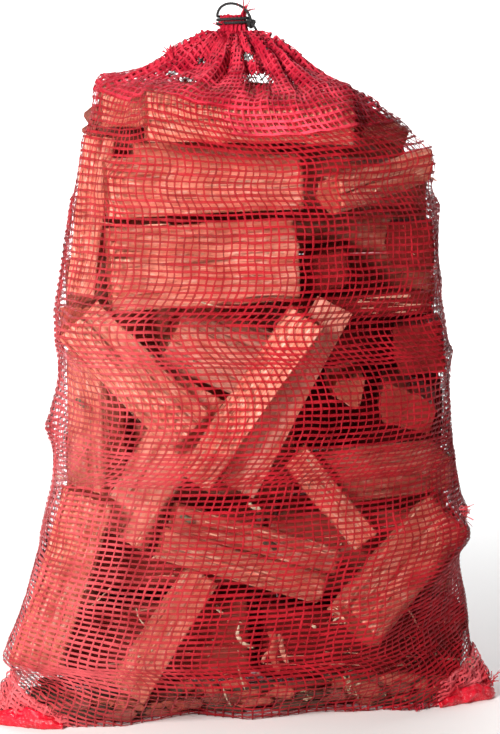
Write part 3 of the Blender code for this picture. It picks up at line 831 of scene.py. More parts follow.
def tape(paths, outs, width, closed, seed):
    """Narrow tapes along paths, folded to a low ridge outside: outs says where each path faces."""
    rng = np.random.RandomState(seed)
    count, length = paths.shape[:2]
    if closed:
        run = np.roll(paths, -1, axis=1) - np.roll(paths, 1, axis=1)
    else:
        run = np.gradient(paths, axis=1)
    run = unit(run)
    side = unit(np.cross(outs, run))
    out = np.cross(run, side)
    knots = max(4, length // 5)
    widths = width * (1 + 0.3 * smooth_noise(rng, (length, count), (knots, count)).T)
    roll = 0.4 * smooth_noise(rng, (length, count), (knots, count)).T
    cos, sin = np.cos(roll)[..., None], np.sin(roll)[..., None]
    half = (side * cos + out * sin) * (widths / 2)[..., None]
    ridge = (out * cos - side * sin) * TAPE_THICK
    corners = np.stack([paths - half, paths + ridge, paths + half], axis=2)
    index = np.arange(count * length).reshape(count, length)
    here, there = (index, np.roll(index, -1, axis=1)) if closed else (index[:, :-1], index[:, 1:])
    here, there = here.ravel() * 3, there.ravel() * 3
    quads = [np.stack([here + a, here + b, there + b, there + a], axis=1)
             for a, b in ((0, 1), (1, 2))]
    tones = np.repeat(rng.uniform(0, 1, count), length * 3)
    return corners.reshape(-1, 3), np.vstack(quads), tones


def weave(points, seed, closed=True):
    """The tapes of a grid: the wefts along its rows and the warps up it, over and under each other."""
    rows, columns = points.shape[:2]
    out = grid_normals(points)
    crossing = ((np.arange(rows)[:, None] // FINE + np.arange(columns)[None, :] // FINE) % 2) * 2.0 - 1.0
    on_row = (np.arange(rows) % FINE == 0)[:, None]
    on_column = (np.arange(columns) % FINE == 0)[None, :]
    lift = out * (WEAVE * crossing * (on_row & on_column))[..., None]
    wefts = tape((points + lift)[::FINE], out[::FINE], WEFT_WIDTH, closed, seed)
    up = (points - lift)[:, ::FINE].transpose(1, 0, 2)
    warps = tape(up, out[:, ::FINE].transpose(1, 0, 2), WARP_WIDTH, False, seed + 1)
    return wefts, warps


def pixels_of(points):
    """Where the camera sees points of the part, in pixels of the photograph."""
    sin, cos = math.sin(CAMERA_RISE), math.cos(CAMERA_RISE)
    away = points - np.array(EYE)
    deep = away[..., 1] * cos - away[..., 2] * sin
    rise = away[..., 1] * sin + away[..., 2] * cos
    return PHOTO_WIDE / 2 + away[..., 0] / deep * FOCUS, PHOTO_HIGH / 2 - rise / deep * FOCUS


def torn_open(tapes, grow):
    """The same tapes without what lies in the torn windows, which are wider in the upper layers."""
    verts, faces, tones = tapes
    middles = verts[faces].mean(axis=1)
    px, py = pixels_of(middles)
    keep = np.ones(len(faces), bool)
    for wx, wy, half_wide, half_high in WINDOWS:
        ragged = 1 + 0.3 * np.sin(px * 1.3 + py * 0.9)
        inside = ((px - wx) / half_wide) ** 2 + ((py - wy) / half_high) ** 2 < (grow * ragged) ** 2
        keep &= ~(inside & ((middles[:, 1] < AXIS[1]) | (grow > 1)))
    return verts, faces[keep], tones


def net_material(name, dark, bright, cover):
    """Red plastic tape: it lets some light through, is crimson where gathered, and has a painted sheen, paler
    pink where light glances off it.
    """
    material, nodes, links, shader = new_material(name)
    tone = attribute_node(nodes, "tone")
    sheen = attribute_node(nodes, "sheen")
    patch, fine, place = wear_masks(nodes, links, 30.0, 900.0)
    split = nodes.new("ShaderNodeSeparateXYZ")
    links.new(place, split.inputs[0])
    colour = mix_colours(nodes, links, spread_node(nodes, links, patch, 0.35, 0.65), dark, bright)
    brighter = math_node(nodes, links, "MULTIPLY", tone, 0.35)
    colour = mix_colours(nodes, links, brighter, colour, (0.50, 0.010, 0.022))
    bunched = spread_node(nodes, links, split.outputs[2], *TENT_HIGH, 0.0, 0.48)
    colour = mix_colours(nodes, links, bunched, colour, (0.62, 0.010, 0.045))
    worn = spread_node(nodes, links, fine, 0.56, 0.8, 0.0, 0.3)
    colour = mix_colours(nodes, links, worn, colour, (0.78, 0.08, 0.10))
    # painted sheen: paler pink in patches where the sheen attribute is high
    painted_sheen_share = math_node(nodes, links, "MULTIPLY", sheen, spread_node(nodes, links, patch, 0.35, 0.6, 0.25, 0.9))
    colour = mix_colours(nodes, links, painted_sheen_share, colour, (0.74, 0.16, 0.17))
    links.new(colour, shader.inputs["Base Color"])
    links.new(spread_node(nodes, links, fine, 0.3, 0.7, 0.4, 0.6), shader.inputs["Roughness"])
    links.new(spread_node(nodes, links, patch, 0.3, 0.7, *cover), shader.inputs["Alpha"])
    shader.inputs["Specular IOR Level"].default_value = 0.18
    shader.inputs["Specular Tint"].default_value = (1.0, 0.35, 0.4, 1.0)
    links.new(bump_node(nodes, links, fine, 0.35, 0.0003), shader.inputs["Normal"])
    return material


def add_tapes(name, tapes, material, parts=1):
    """Adds a set of tapes, split by face into pieces, so that none is too heavy."""
    verts, faces, tones = tapes
    verts[:, 2] = np.maximum(verts[:, 2], 0.1 * MM)
    pieces = []
    for n, share in enumerate(np.array_split(np.arange(len(faces)), parts)):
        used, packed = np.unique(faces[share], return_inverse=True)
        label = f"{name}_{n + 1}" if parts > 1 else name
        mesh = grid_mesh(label, verts[used], packed.reshape(-1, 4))
        write_values(mesh, "tone", tones[used])
        # painted sheen on the left of the sack, weaker higher up
        left = ramp(AXIS[0] - 0.03 - verts[used][:, 0], 0.14)
        write_values(mesh, "sheen", left * (0.50 - 0.4 * ramp(verts[used][:, 2] - 0.33, 0.15)))
        pieces.append(add_piece(label, mesh, material, smooth=False))
    return pieces


NET = net_material("red woven tape", (0.17, 0.003, 0.006), (0.33, 0.009, 0.016), (0.78, 0.92))
NECK_RED = net_material("gathered red tape", (0.20, 0.001, 0.009), (0.86, 0.070, 0.115), (0.9, 1.0))
PINK_NET = net_material("pale red woven tape", (0.50, 0.010, 0.024), (0.80, 0.18, 0.20), (0.8, 0.95))
net_wall = add_folds(wavy_hem(net_grid()), 23)
net_wefts, net_warps = weave(net_wall, 31)
weft_pieces = add_tapes("net_wefts", torn_open(net_wefts, 0.75), NET, 2)
add_tapes("net_warps", torn_open(net_warps, 0.75), NET, 2)
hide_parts("net_sack")


def further_layer(name, block, aside, off, seed, material, around=False):
    """One more layer of net over a block of the first, shifted by part of a mesh and a little off it."""
    rng = np.random.RandomState(seed)
    shifted = np.roll(block, aside, axis=1) if around else block
    shifted = (shifted[:-1] + shifted[1:]) / 2
    if around:
        shifted = np.roll((shifted + np.roll(shifted, 1, axis=1)) / 2, -aside, axis=1)
    else:
        shifted = (shifted[:, :-1] + shifted[:, 1:]) / 2
    out = grid_normals(shifted)
    rise = off * (1 + smooth_noise(rng, shifted.shape[:2], (8, 16)))
    moved = shifted + out * (rise * MM)[..., None]
    moved[..., 2] = np.maximum(moved[..., 2], 0.8 * MM)
    wefts, warps = weave(moved, seed, around)
    add_tapes(name + "_wefts", torn_open(wefts, 1.2), material)
    add_tapes(name + "_warps", torn_open(warps, 1.2), material)


def gathered(block):
    """A block of net whose folds stand high round the tie, where they are bunched together."""
    out = np.hypot(block[..., 0] - NECK[0], block[..., 1] - NECK[1])
    lifted = block.copy()
    near, far = ramp(out - NECK_RADIUS - 0.003, 0.014), ramp(out - BUNCH_OUT, 0.048)
    lifted[..., 2] += BUNCH_HIGH * near * (1 - far)
    return lifted


def height_row(height):
    """The first row of the net that lies wholly over a height."""
    return int(np.argmax(net_wall[:, :, 2].mean(axis=1) > height)) // FINE * FINE


def side_columns(side, wide):
    """The columns of the net that run up its edge left or right in the view."""
    middle = net_wall[height_row(0.15):height_row(0.45)].mean(axis=0)
    return (int((middle[:, 0] * side).argmax()) + np.arange(-wide, wide + 1)) % net_wall.shape[1]


for number, (low, aside, off) in enumerate(FOLDS):
    further_layer(f"fold_{number + 1}", net_wall[height_row(low):], aside, off, 57 + number, NECK_RED, True)
for number, (low, aside, off) in enumerate(BUNCHES):
    bunch = gathered(net_wall[height_row(low):])
    further_layer(f"bunch_{number + 1}", bunch, aside, off, 71 + number, NECK_RED, True)
shoulder = net_wall[height_row(0.565):][:, (side_columns(1, 34) - 34) % net_wall.shape[1]]
further_layer("right_shoulder_fold", shoulder, 0, 1.5, 61, NECK_RED)
for label, side in (("left", -1), ("right", 1)):
    edge = net_wall[height_row(0.03):height_row(0.50)][:, side_columns(side, 13 + 5 * side)]
    further_layer(label + "_edge_fold", edge, 0, 0.9, 63 + side, NET)

# The sack's two lower corners. Each is a bunch of net twisted to a tip: the folds of its hem are pressed flat
# and fused into a stiff glossy red edge, and more layers of net lie over them.

HEM_REACH = 0.076                 # how far the stiff edge runs from the tip along the base
HEM_POINTS = 64
HEM_ROUND = 28
HEM_HIGH = 10.0 * MM              # half its height
HEM_THICK = 4.5 * MM
HEM_FOOT = 0.0045                 # the height of the net at which it is fixed


def hem_material():
    """Fused red plastic, glossy, with pale scuffs along its wrinkles."""
    material, nodes, links, shader = new_material("fused red hem")
    patch, fine, _ = wear_masks(nodes, links, 55.0, 420.0)
    colour = mix_colours(nodes, links, spread_node(nodes, links, patch, 0.35, 0.65), (0.42, 0.001, 0.008),
                         (0.72, 0.004, 0.026))
    scuff = spread_node(nodes, links, fine, 0.60, 0.72, 0.0, 0.6)
    colour = mix_colours(nodes, links, scuff, colour, (0.86, 0.28, 0.32))
    links.new(colour, shader.inputs["Base Color"])
    links.new(spread_node(nodes, links, fine, 0.3, 0.7, 0.22, 0.45), shader.inputs["Roughness"])
    links.new(bump_node(nodes, links, fine, 0.6, 0.0008), shader.inputs["Normal"])
    return material


HEM = hem_material()
foot_rows = np.argmax(net_wall[:, :, 2] > HEM_FOOT, axis=0)
foot = net_wall[foot_rows, np.arange(net_wall.shape[1])]


def hem_line(side, step):
    """Points along the foot of the net from the tip of a corner to the front or back, and where they face."""
    tip = int((foot[:, 0] * side).argmax())
    line = np.roll(foot, -tip, axis=0)[::step]
    line = np.roll(line, 1, axis=0) if step < 0 else line
    walked = np.concatenate(([0], np.cumsum(np.linalg.norm(np.diff(line, axis=0), axis=1))))
    even = np.linspace(0, HEM_REACH, HEM_POINTS)
    points = np.stack([np.interp(even, walked, line[:, axis]) for axis in range(3)], axis=1)
    for _ in range(12):
        points[1:-1] = (points[:-2] + 2 * points[1:-1] + points[2:]) / 4
    run = unit(np.gradient(points, axis=0))
    out = unit(np.cross(run, (0.0, 0.0, 1.0)))
    out *= np.sign((out * (points - AXIS)).sum(axis=1))[:, None]
    return points, out


def hem_lobe(name, side, step, high, seed):
    """A crumpled lobe of fused hem along the base, thick a little way in from the tip and thin at its end."""
    rng = np.random.RandomState(seed)
    points, out = hem_line(side, step)
    share = np.linspace(0, 1, HEM_POINTS)[:, None]
    round_about = np.linspace(0, 2 * math.pi, HEM_ROUND, endpoint=False)[None, :]
    swell = 0.32 + 0.68 * np.sin(math.pi * np.clip(share * 1.05, 0, 1)) ** 0.8
    drift = smooth_noise(rng, (HEM_POINTS, HEM_ROUND), (5, 3))
    crumple = 1 + 0.16 * np.sin(round_about * 5 + 2.5 * drift) + 0.09 * np.sin(round_about * 9 + share * 16)
    crumple = crumple + 0.22 * smooth_noise(rng, (HEM_POINTS, HEM_ROUND), (16, 8))
    up = high * swell * np.cos(round_about) * crumple
    forth = HEM_THICK * (0.4 + 0.6 * swell) * np.sin(round_about) * crumple
    lift = high * swell * (0.9 + 0.25 * smooth_noise(rng, (HEM_POINTS, 1), (5, 1)))
    verts = points[:, None, :] + out[:, None, :] * (forth + 3.0 * MM)[..., None]
    verts[..., 2] = np.maximum(0.5 * MM, 0.3 * MM + lift + up)
    mesh, _ = closed_mesh(name, verts)
    add_piece(name, mesh, HEM)


# the hem's lobes: the side, which way along the foot, and the height against the highest
HEM_LOBES = (("left_hem_front", -1, 1, 1.0), ("left_hem_back", -1, -1, 0.7),
             ("right_hem_front", 1, -1, 0.95), ("right_hem_back", 1, 1, 0.7))
for number, (name, side, step, high) in enumerate(HEM_LOBES):
    hem_lobe(name, side, step, HEM_HIGH * high, 61 + number)

CORNER_WEFTS = 12                # tapes up and across that the further layers over a corner have
CORNER_WARPS = 9


def corner_layer(name, side, seed, aside, off):
    """One more layer of the net over a corner."""
    tip = int((foot[:, 0] * side).argmax())
    half = CORNER_WARPS * FINE
    low = int(foot_rows[tip])
    block = np.roll(net_wall, half - tip + aside, axis=1)[low:low + CORNER_WEFTS * FINE + 1, :2 * half + 1]
    further_layer(name, block, 0, off, seed, PINK_NET)


# the layers over the corners: the side, how many columns aside, and how far off in mm
CORNER_LAYERS = ((-1, 1, 1.4), (-1, 0, 2.6), (1, 1, 1.4), (1, 0, 2.6))
for number, (side, aside, off) in enumerate(CORNER_LAYERS):
    corner_layer(f"corner_layer_{number + 1}", side, 71 + number, aside, off)

# The mouth of the sack and its drawstring. The net's top edge is gathered in pleats and stands a little over
# the tie, with torn tape ends. The drawstring is a thin black cord of three twisted strands, twice round the
# neck, with a small loop over it, an overhand knot at the side, and two short ends.

CORD_OUT = 15.8 * MM              # from the neck's middle to the cord's middle
CORD_LOW = 0.6655
CORD_PITCH = 3.7 * MM
CORD_TURNS = 2
TURN_POINTS = 14
LOOP_POINTS = 14
LOOP_TOP = 0.6900
KNOT_ANGLE = math.radians(-32)
KNOT_OUT = 20.0 * MM
KNOT_HIGH = 0.6690
STRAND = 0.78 * MM                # half a strand's width
STRAND_OUT = 0.74 * MM            # from the cord's middle to a strand's
TWIST = 5.2 * MM                  # length of one turn of the strands
CORD_STEP = 0.8 * MM
KNOT_SCALE = 1.35 * MM
# the cord's ends on the gathered net, in pixels of the photograph, and how far off the net in mm
END_RIGHT = ((262, 40, 2.0), (267, 50, 2.0))
END_LEFT = ((241, 36, 1.0), (236, 41, 2.5), (229, 42, 2.5), (224, 39, 1.5))
# the mouth's rings, radius and height, and the angle at which its edge stands highest
MOUTH = ((0.0125, 0.6600), (0.0118, 0.6650), (0.0108, 0.6690), (0.0112, 0.6725), (0.0122, 0.6745))
MOUTH_PLEATS = 0.10
MOUTH_PEAK = 0.010
MOUTH_PEAK_ANGLE = math.radians(-18)
FRAY_WIDTH = 1.3 * MM
# where tape ends stand out: the place in pixels, how many, which way they lean, their length in mm, the
# material, and how far they spread in mm
FRAYS = (
    ("tuft_on_shoulder", (172, 56), 22, (-0.4, -0.3, 1.0), 11, NECK_RED, 4),
    ("fray_right_edge", (461, 513), 26, (1.0, -0.2, 0.1), 10, PINK_NET, 6),
    ("fray_left_tip", (8, 700), 18, (-0.4, -0.5, 0.8), 10, PINK_NET, 6),
    ("fray_right_tip", (488, 682), 20, (0.5, -0.4, 0.8), 10, PINK_NET, 6),
    ("fray_base", (418, 705), 14, (0.2, -0.5, -0.6), 9, NECK_RED, 4),
)


def view_way(px, py):
    """The direction in which the camera sees a place of the photograph, given in its pixels."""
    right, up = (px - PHOTO_WIDE / 2) / FOCUS, (PHOTO_HIGH / 2 - py) / FOCUS
    sin, cos = math.sin(CAMERA_RISE), math.cos(CAMERA_RISE)
    return Vector((right, cos + up * sin, up * cos - sin)).normalized()


def net_tree():
    rows, columns = net_wall.shape[:2]
    return BVHTree.FromPolygons([Vector(point) for point in net_wall.reshape(-1, 3)],
                                ring_quads(rows, columns).tolist())


NET_TREE = net_tree()


def spot(tree, px, py, off):
    """The place on the logs or on the net that the camera sees at a pixel, so far off towards the camera."""
    way = view_way(px, py)
    hit = tree.ray_cast(EYE, way)[0]
    if hit is None:
        hit = EYE + way * CAMERA_DISTANCE
    return np.array(hit - way * off)


def neck_point(angle, out, height):
    return np.array((NECK[0] + out * math.cos(angle), NECK[1] + out * math.sin(angle), height))


def drawstring_route():
    """Out of the knot, twice round the neck, up over it in a loop and back into the knot."""
    route = [neck_point(KNOT_ANGLE, KNOT_OUT, CORD_LOW)]
    sweep = 2 * math.pi * CORD_TURNS + math.pi - KNOT_ANGLE
    steps = int(TURN_POINTS * sweep / (2 * math.pi))
    for step in range(1, steps + 1):
        angle = sweep * step / steps
        out = CORD_OUT + (KNOT_OUT - CORD_OUT) * max(0.0, 1 - step / 2)
        route.append(neck_point(KNOT_ANGLE + angle, out, CORD_LOW + CORD_PITCH * angle / (2 * math.pi)))
    start = route[-1]
    end = neck_point(KNOT_ANGLE, KNOT_OUT, KNOT_HIGH)
    for step in range(1, LOOP_POINTS + 1):
        share = step / LOOP_POINTS
        point = start + (end - start) * (1 - math.cos(math.pi * share)) / 2
        point[2] += (LOOP_TOP - start[2]) * math.sin(math.pi * share)
        route.append(point)
    return np.array(route)


def smooth_route(points, step):
    """Evenly spaced points along a curve through the given ones."""
    points = np.asarray(points, float)
    knots = np.concatenate(([0], np.cumsum(np.linalg.norm(np.diff(points, axis=0), axis=1))))
    padded = np.vstack((2 * points[0] - points[1], points, 2 * points[-1] - points[-2]))
    fine = []
    for n in range(len(points) - 1):
        a, b, c, d = padded[n:n + 4]
        for share in np.linspace(0, 1, 12, endpoint=False):
            fine.append(0.5 * (2 * b + (c - a) * share + (2 * a - 5 * b + 4 * c - d) * share ** 2
                               + (3 * b - a - 3 * c + d) * share ** 3))
    fine = np.array(fine + [points[-1]])
    walked = np.concatenate(([0], np.cumsum(np.linalg.norm(np.diff(fine, axis=0), axis=1))))
    even = np.linspace(0, walked[-1], max(3, int(walked[-1] / step)))
    return np.stack([np.interp(even, walked, fine[:, axis]) for axis in range(3)], axis=1)


def carried_sides(path):
    """Two directions across a path at each of its points, carried along it without a twist."""
    run = unit(np.gradient(path, axis=0))
    start = np.cross(run[0], (0.0, 0.0, 1.0))
    if np.linalg.norm(start) < 0.1:
        start = np.cross(run[0], (1.0, 0.0, 0.0))
    side = unit(start)
    sides = []
    for way in run:
        side = unit(side - way * (side @ way))
        sides.append(side)
    sides = np.array(sides)
    return sides, np.cross(run, sides)


def tube_layers(path, radius, points):
    sides, ups = carried_sides(path)
    angles = np.linspace(0, 2 * math.pi, points, endpoint=False)
    cos, sin = np.cos(angles)[None, :, None], np.sin(angles)[None, :, None]
    around = sides[:, None, :] * cos + ups[:, None, :] * sin
    return path[:, None, :] + around * radius[:, None, None]


def cord_material():
    """Black twisted fibre, dull, with a few grey worn hairs."""
    material, nodes, links, shader = new_material("black twisted cord")
    _, fibre, _ = wear_masks(nodes, links, 60.0, 1400.0)
    worn = spread_node(nodes, links, fibre, 0.5, 0.75)
    links.new(mix_colours(nodes, links, worn, (0.008, 0.008, 0.009), (0.075, 0.068, 0.070)),
              shader.inputs["Base Color"])
    links.new(spread_node(nodes, links, fibre, 0.2, 0.8, 0.6, 0.9), shader.inputs["Roughness"])
    links.new(bump_node(nodes, links, fibre, 0.8, 0.0004), shader.inputs["Normal"])
    return material


CORD = cord_material()


def twisted_cord(name, points, thin=1.0):
    """Three strands twisted round each other along a route."""
    path = smooth_route(points, CORD_STEP)
    sides, ups = carried_sides(path)
    turned = np.arange(len(path)) * CORD_STEP / TWIST * 2 * math.pi
    pieces = []
    for strand in range(3):
        angle = (turned + strand * 2 * math.pi / 3)[:, None]
        line = path + (sides * np.cos(angle) + ups * np.sin(angle)) * STRAND_OUT * thin
        from_end = np.minimum(np.arange(len(path)), np.arange(len(path))[::-1])
        radius = STRAND * thin * np.minimum(1, 0.4 + from_end * 0.3)
        mesh, _ = closed_mesh(f"{name}_{strand + 1}", tube_layers(line, radius, 7))
        pieces.append(add_piece(f"{name}_{strand + 1}", mesh, CORD))
    return pieces


strands = twisted_cord("drawstring_strand", drawstring_route())
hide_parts("drawstring")
knot_middle = neck_point(KNOT_ANGLE, KNOT_OUT, KNOT_HIGH - 0.001)
turns = np.linspace(0, 2 * math.pi, 30, endpoint=False)
overhand = np.stack([np.sin(turns) + 2 * np.sin(2 * turns), -np.sin(3 * turns),
                     np.cos(turns) - 2 * np.cos(2 * turns)], axis=1)
knot = overhand * KNOT_SCALE + knot_middle
twisted_cord("knot_strand", knot, 0.95)


def on_net(route):
    """Points a little off the net, at pixels of the photograph."""
    return [spot(NET_TREE, px, py, off * MM) for px, py, off in route]


out_of_knot = [knot_middle, knot_middle + (0.003, -0.004, -0.003)]
twisted_cord("cord_end_right", out_of_knot + on_net(END_RIGHT), 0.9)
twisted_cord("cord_end_left", on_net(END_LEFT), 0.9)


def mouth_rings(seed):
    """The net's top edge, a pleated band round the neck that stands higher on the right of the tie."""
    rng = np.random.RandomState(seed)
    columns = WARPS * FINE
    radii, heights = np.array(MOUTH).T
    rows = len(MOUTH) * FINE + 1
    share = np.linspace(0, len(MOUTH) - 1, rows)
    angle = np.arange(columns)[None, :] / columns * 2 * math.pi + math.pi
    radius = np.interp(share, np.arange(len(MOUTH)), radii)[:, None]
    height = np.interp(share, np.arange(len(MOUTH)), heights)[:, None]
    wave = np.sin(angle * 17 + 3 * smooth_noise(rng, (rows, columns), (2, 9)))
    wave = wave + 0.6 * smooth_noise(rng, (rows, columns), (3, 31))
    radius = radius * (1 + MOUTH_PLEATS * wave)
    off = (angle - MOUTH_PEAK_ANGLE + math.pi) % (2 * math.pi) - math.pi
    peak = MOUTH_PEAK * np.exp(-(off / 0.45) ** 2) + 0.0012 * smooth_noise(rng, (1, columns), (1, 23))
    height = height + np.linspace(0, 1, rows)[:, None] * peak
    return np.stack([NECK[0] + radius * np.cos(angle), NECK[1] + radius * np.sin(angle),
                     height + 0.0008 * wave], axis=2)


mouth_wefts, mouth_warps = weave(mouth_rings(85), 85)
add_tapes("mouth_wefts", torn_open(mouth_wefts, 1.0), NECK_RED)
add_tapes("mouth_warps", torn_open(mouth_warps, 1.0), NECK_RED)


def loose_tapes(name, starts, lean, length, seed, material):
    """Short torn ends of tape that stand out from the net and curl."""
    rng = np.random.RandomState(seed)
    share = np.linspace(0, 1, 8)[:, None]
    paths = []
    outs = []
    for start in starts:
        way = unit(np.array(lean, float) + rng.uniform(-0.5, 0.5, 3))
        bend = rng.uniform(-1, 1, 3) * 0.7
        long = length * rng.uniform(0.45, 1.1)
        paths.append(np.array(start) + (way * share + bend * share ** 2 * 0.6) * long)
        outs.append(np.tile(unit(np.cross(way, rng.uniform(-1, 1, 3))), (8, 1)))
    verts, faces, tones = tape(np.array(paths), np.array(outs), FRAY_WIDTH, False, seed)
    verts[:, 2] = np.maximum(verts[:, 2], 0.4 * MM)
    add_tapes(name, (verts, faces, tones), material)


def tuft(name, angles, out, height, lean, seed, material):
    """Tape ends that stand out all along an arc round the neck."""
    starts = [neck_point(math.radians(angle), out, height) for angle in angles]
    loose_tapes(name, starts, lean, 0.011, seed, material)


tuft("tuft_over_tie", range(-50, 31, 4), 10.8 * MM, NECK_LOW + 0.016, (0.3, -0.3, 1.0), 91, PINK_NET)
tuft("tuft_left_of_tie", range(150, 251, 8), 11.0 * MM, NECK_LOW + 0.002, (-0.6, -0.4, 0.5), 92, NECK_RED)
for number, (name, (px, py), count, lean, length, material, spread) in enumerate(FRAYS):
    scatter = np.random.RandomState(93 + number).uniform(-1, 1, (count, 3)) * spread * MM
    loose_tapes(name, spot(NET_TREE, px, py, 0.0) + scatter, lean, length * MM, 93 + number, material)


# Loose bits. Chips, shavings, splinters, straw and crumbs of bark that came off the logs when they were
# split, and slivers that still hang on their faces. They lie between the logs and the net.

CHIP_TONES = {"cream": (0.90, 0.66, 0.46), "pale": (0.92, 0.42, 0.29), "red": (0.62, 0.13, 0.08),
              "brown": (0.10, 0.045, 0.025), "green": (0.21, 0.185, 0.11), "straw": (0.70, 0.55, 0.33),
              "dull": (0.30, 0.06, 0.04)}
# each bit: its route in pixels of the photograph, its width and thickness in mm, and its tone
BITS = (
    (((239, 625), (237, 633), (240, 640), (246, 645), (254, 648)), 4.0, 1.2, "cream"),
    (((268, 632), (275, 641), (273, 655), (279, 673)), 8.0, 2.6, "red"),
    (((279, 634), (282, 650), (288, 664)), 6.0, 2.2, "pale"),
    (((272, 648), (265, 656), (262, 663)), 3.0, 1.0, "pale"),
    (((238, 667), (241, 678), (245, 690)), 1.5, 0.8, "cream"),
    (((223, 687), (226, 697), (231, 706)), 1.6, 0.8, "cream"),
    (((136, 608), (139, 618), (146, 627)), 1.5, 0.8, "cream"),
    (((216, 609), (224, 614)), 2.6, 1.2, "cream"),
    (((311, 624), (316, 628)), 2.8, 1.4, "cream"),
    (((263, 543), (270, 544), (277, 549)), 6.4, 2.0, "brown"),
    (((248, 503), (255, 508), (261, 509)), 4.0, 1.4, "cream"),
    (((180, 513), (187, 519), (194, 521)), 5.5, 1.8, "green"),
    (((75, 400), (80, 402), (86, 407)), 6.0, 2.0, "green"),
    (((55, 476), (62, 478), (69, 478)), 2.6, 1.0, "cream"),
    (((230, 113), (262, 117), (296, 114), (330, 109)), 1.6, 0.8, "cream"),
    (((262, 109), (290, 112), (312, 117)), 1.2, 0.7, "pale"),
    (((329, 609), (338, 613), (346, 622)), 2.2, 1.0, "pale"),
    (((333, 621), (341, 616)), 1.8, 0.9, "cream"),
    (((445, 452), (451, 456)), 2.0, 1.0, "brown"),
    (((428, 176), (437, 181)), 2.0, 1.0, "pale"),
    (((205, 690), (222, 676), (236, 672)), 1.4, 0.8, "red"),
    (((150, 560), (158, 556), (170, 559)), 1.8, 0.8, "pale"),
    (((86, 610), (98, 600), (112, 586)), 1.4, 0.7, "pale"),
    (((396, 600), (410, 612), (420, 630)), 1.6, 0.8, "pale"),
    (((300, 455), (309, 462), (316, 476)), 1.5, 0.8, "cream"),
    (((196, 300), (214, 306), (236, 307)), 1.6, 0.8, "cream"),
    (((100, 222), (130, 226), (170, 224)), 1.5, 0.8, "pale"),
)
# heaps of small bits: the corners of the place in pixels, how many, their length in mm, and their tones
HEAPS = (
    ((148, 335, 170, 359), 20, 3.4, ("cream", "green")),
    ((175, 353, 198, 380), 24, 3.6, ("cream", "green", "straw")),
    ((344, 670, 359, 697), 16, 13.0, ("straw", "cream", "green")),
    ((303, 690, 312, 704), 9, 9.0, ("straw", "cream")),
    ((465, 655, 477, 669), 14, 4.0, ("green", "brown")),
    ((325, 604, 348, 624), 14, 4.0, ("pale", "cream", "red")),
    ((205, 600, 300, 700), 46, 5.0, ("red", "brown", "pale", "cream")),
    ((60, 620, 200, 712), 30, 4.0, ("pale", "red", "cream")),
    ((300, 640, 440, 700), 40, 4.5, ("red", "brown", "straw")),
    ((90, 90, 430, 400), 60, 3.0, ("pale", "red", "cream")),
    ((60, 400, 450, 620), 60, 3.0, ("pale", "red", "cream")),
)
# dark flakes deep in the sack, behind gaps between the logs, as painted shade that fills the gaps: the route
# in pixels and the width in mm
SHADE_FLAKES = (
    (((82, 131), (116, 129), (144, 130)), 14), (((84, 114), (126, 121)), 18),
    (((112, 427), (150, 427)), 16), (((276, 290), (281, 350)), 15), (((253, 590), (254, 626)), 18),
    (((94, 257), (114, 258)), 9),
)
SHADE_FLAKES_Y = 0.045             # how deep they lie
SHADE_FLAKES_THICK = 4 * MM
BIT_ROUND = 8                     # points round a bit
LITTER = 150                      # chips on the sack's bottom
LITTER_ACROSS = (-0.21, 0.215)    # how far left and right they lie
SLIVERS = 22                      # torn slivers on one log
CRUMB_ANGLES = (0, 1.3, 2.6, 3.7, 5.0)


def chip_material(name, colour):
    """Fresh or dirty wood in a small piece: streaks along it and darker specks."""
    material, nodes, links, shader = new_material(name)
    patch, fine, _ = wear_masks(nodes, links, 240.0, 1300.0)
    dark = tuple(0.55 * value for value in colour)
    base = mix_colours(nodes, links, spread_node(nodes, links, patch, 0.35, 0.65), dark, colour)
    specks = spread_node(nodes, links, fine, 0.58, 0.75, 0.0, 0.6)
    base = mix_colours(nodes, links, specks, base, (0.08, 0.03, 0.02))
    links.new(base, shader.inputs["Base Color"])
    links.new(spread_node(nodes, links, fine, 0.3, 0.7, 0.6, 0.85), shader.inputs["Roughness"])
    links.new(bump_node(nodes, links, fine, 0.7, 0.0005), shader.inputs["Normal"])
    return material


CHIPS = {tone: chip_material(tone + " chip", colour) for tone, colour in CHIP_TONES.items()}


def flat_bit(name, path, wide, thick, tone, seed, spin=0.0, parts=16):
    """A flat bit of wood along a path, ragged, thinner at both ends."""
    rng = np.random.RandomState(seed)
    line = smooth_route(path, max(0.8 * MM, np.linalg.norm(path[-1] - path[0]) / parts))
    count = len(line)
    share = np.linspace(0, 1, count)
    body = np.minimum(1, 0.25 + np.minimum(share, 1 - share) * 5)[:, None]
    angle = np.linspace(0, 2 * math.pi, BIT_ROUND, endpoint=False)[None, :]
    rough = 1 + 0.35 * smooth_noise(rng, (count, BIT_ROUND), (max(3, count // 2), 5))
    run = unit(np.gradient(line, axis=0))
    toward = unit(np.cross(np.gradient(line, axis=0), (0.0, 1.0, 0.0)))
    across = toward * math.cos(spin) + np.cross(run, toward) * math.sin(spin)
    other = np.cross(run, across)
    verts = (line[:, None, :] + across[:, None, :] * (np.cos(angle) * rough * body * wide / 2)[..., None]
             + other[:, None, :] * (np.sin(angle) * rough * body * thick / 2)[..., None])
    verts[..., 2] = np.maximum(verts[..., 2], 0.3 * MM)
    mesh, _ = closed_mesh(name, verts)
    add_piece(name, mesh, CHIPS[tone])


def between(px, py):
    """What a pixel shows between the logs and the net: on the logs, or not far behind the net."""
    way = view_way(px, py)
    on_wood = WOOD_TREE.ray_cast(EYE, way)[3]
    at_net = NET_TREE.ray_cast(EYE, way)[3]
    far = min((on_wood or CAMERA_DISTANCE) - 0.002, (at_net or CAMERA_DISTANCE) + 0.010)
    return np.array(EYE + way * far)


for number, (route, wide, thick, tone) in enumerate(BITS):
    path = np.array([between(px, py) for px, py in route])
    flat_bit(f"bit_{number + 1}", path, wide * MM, thick * MM, tone, 900 + number)
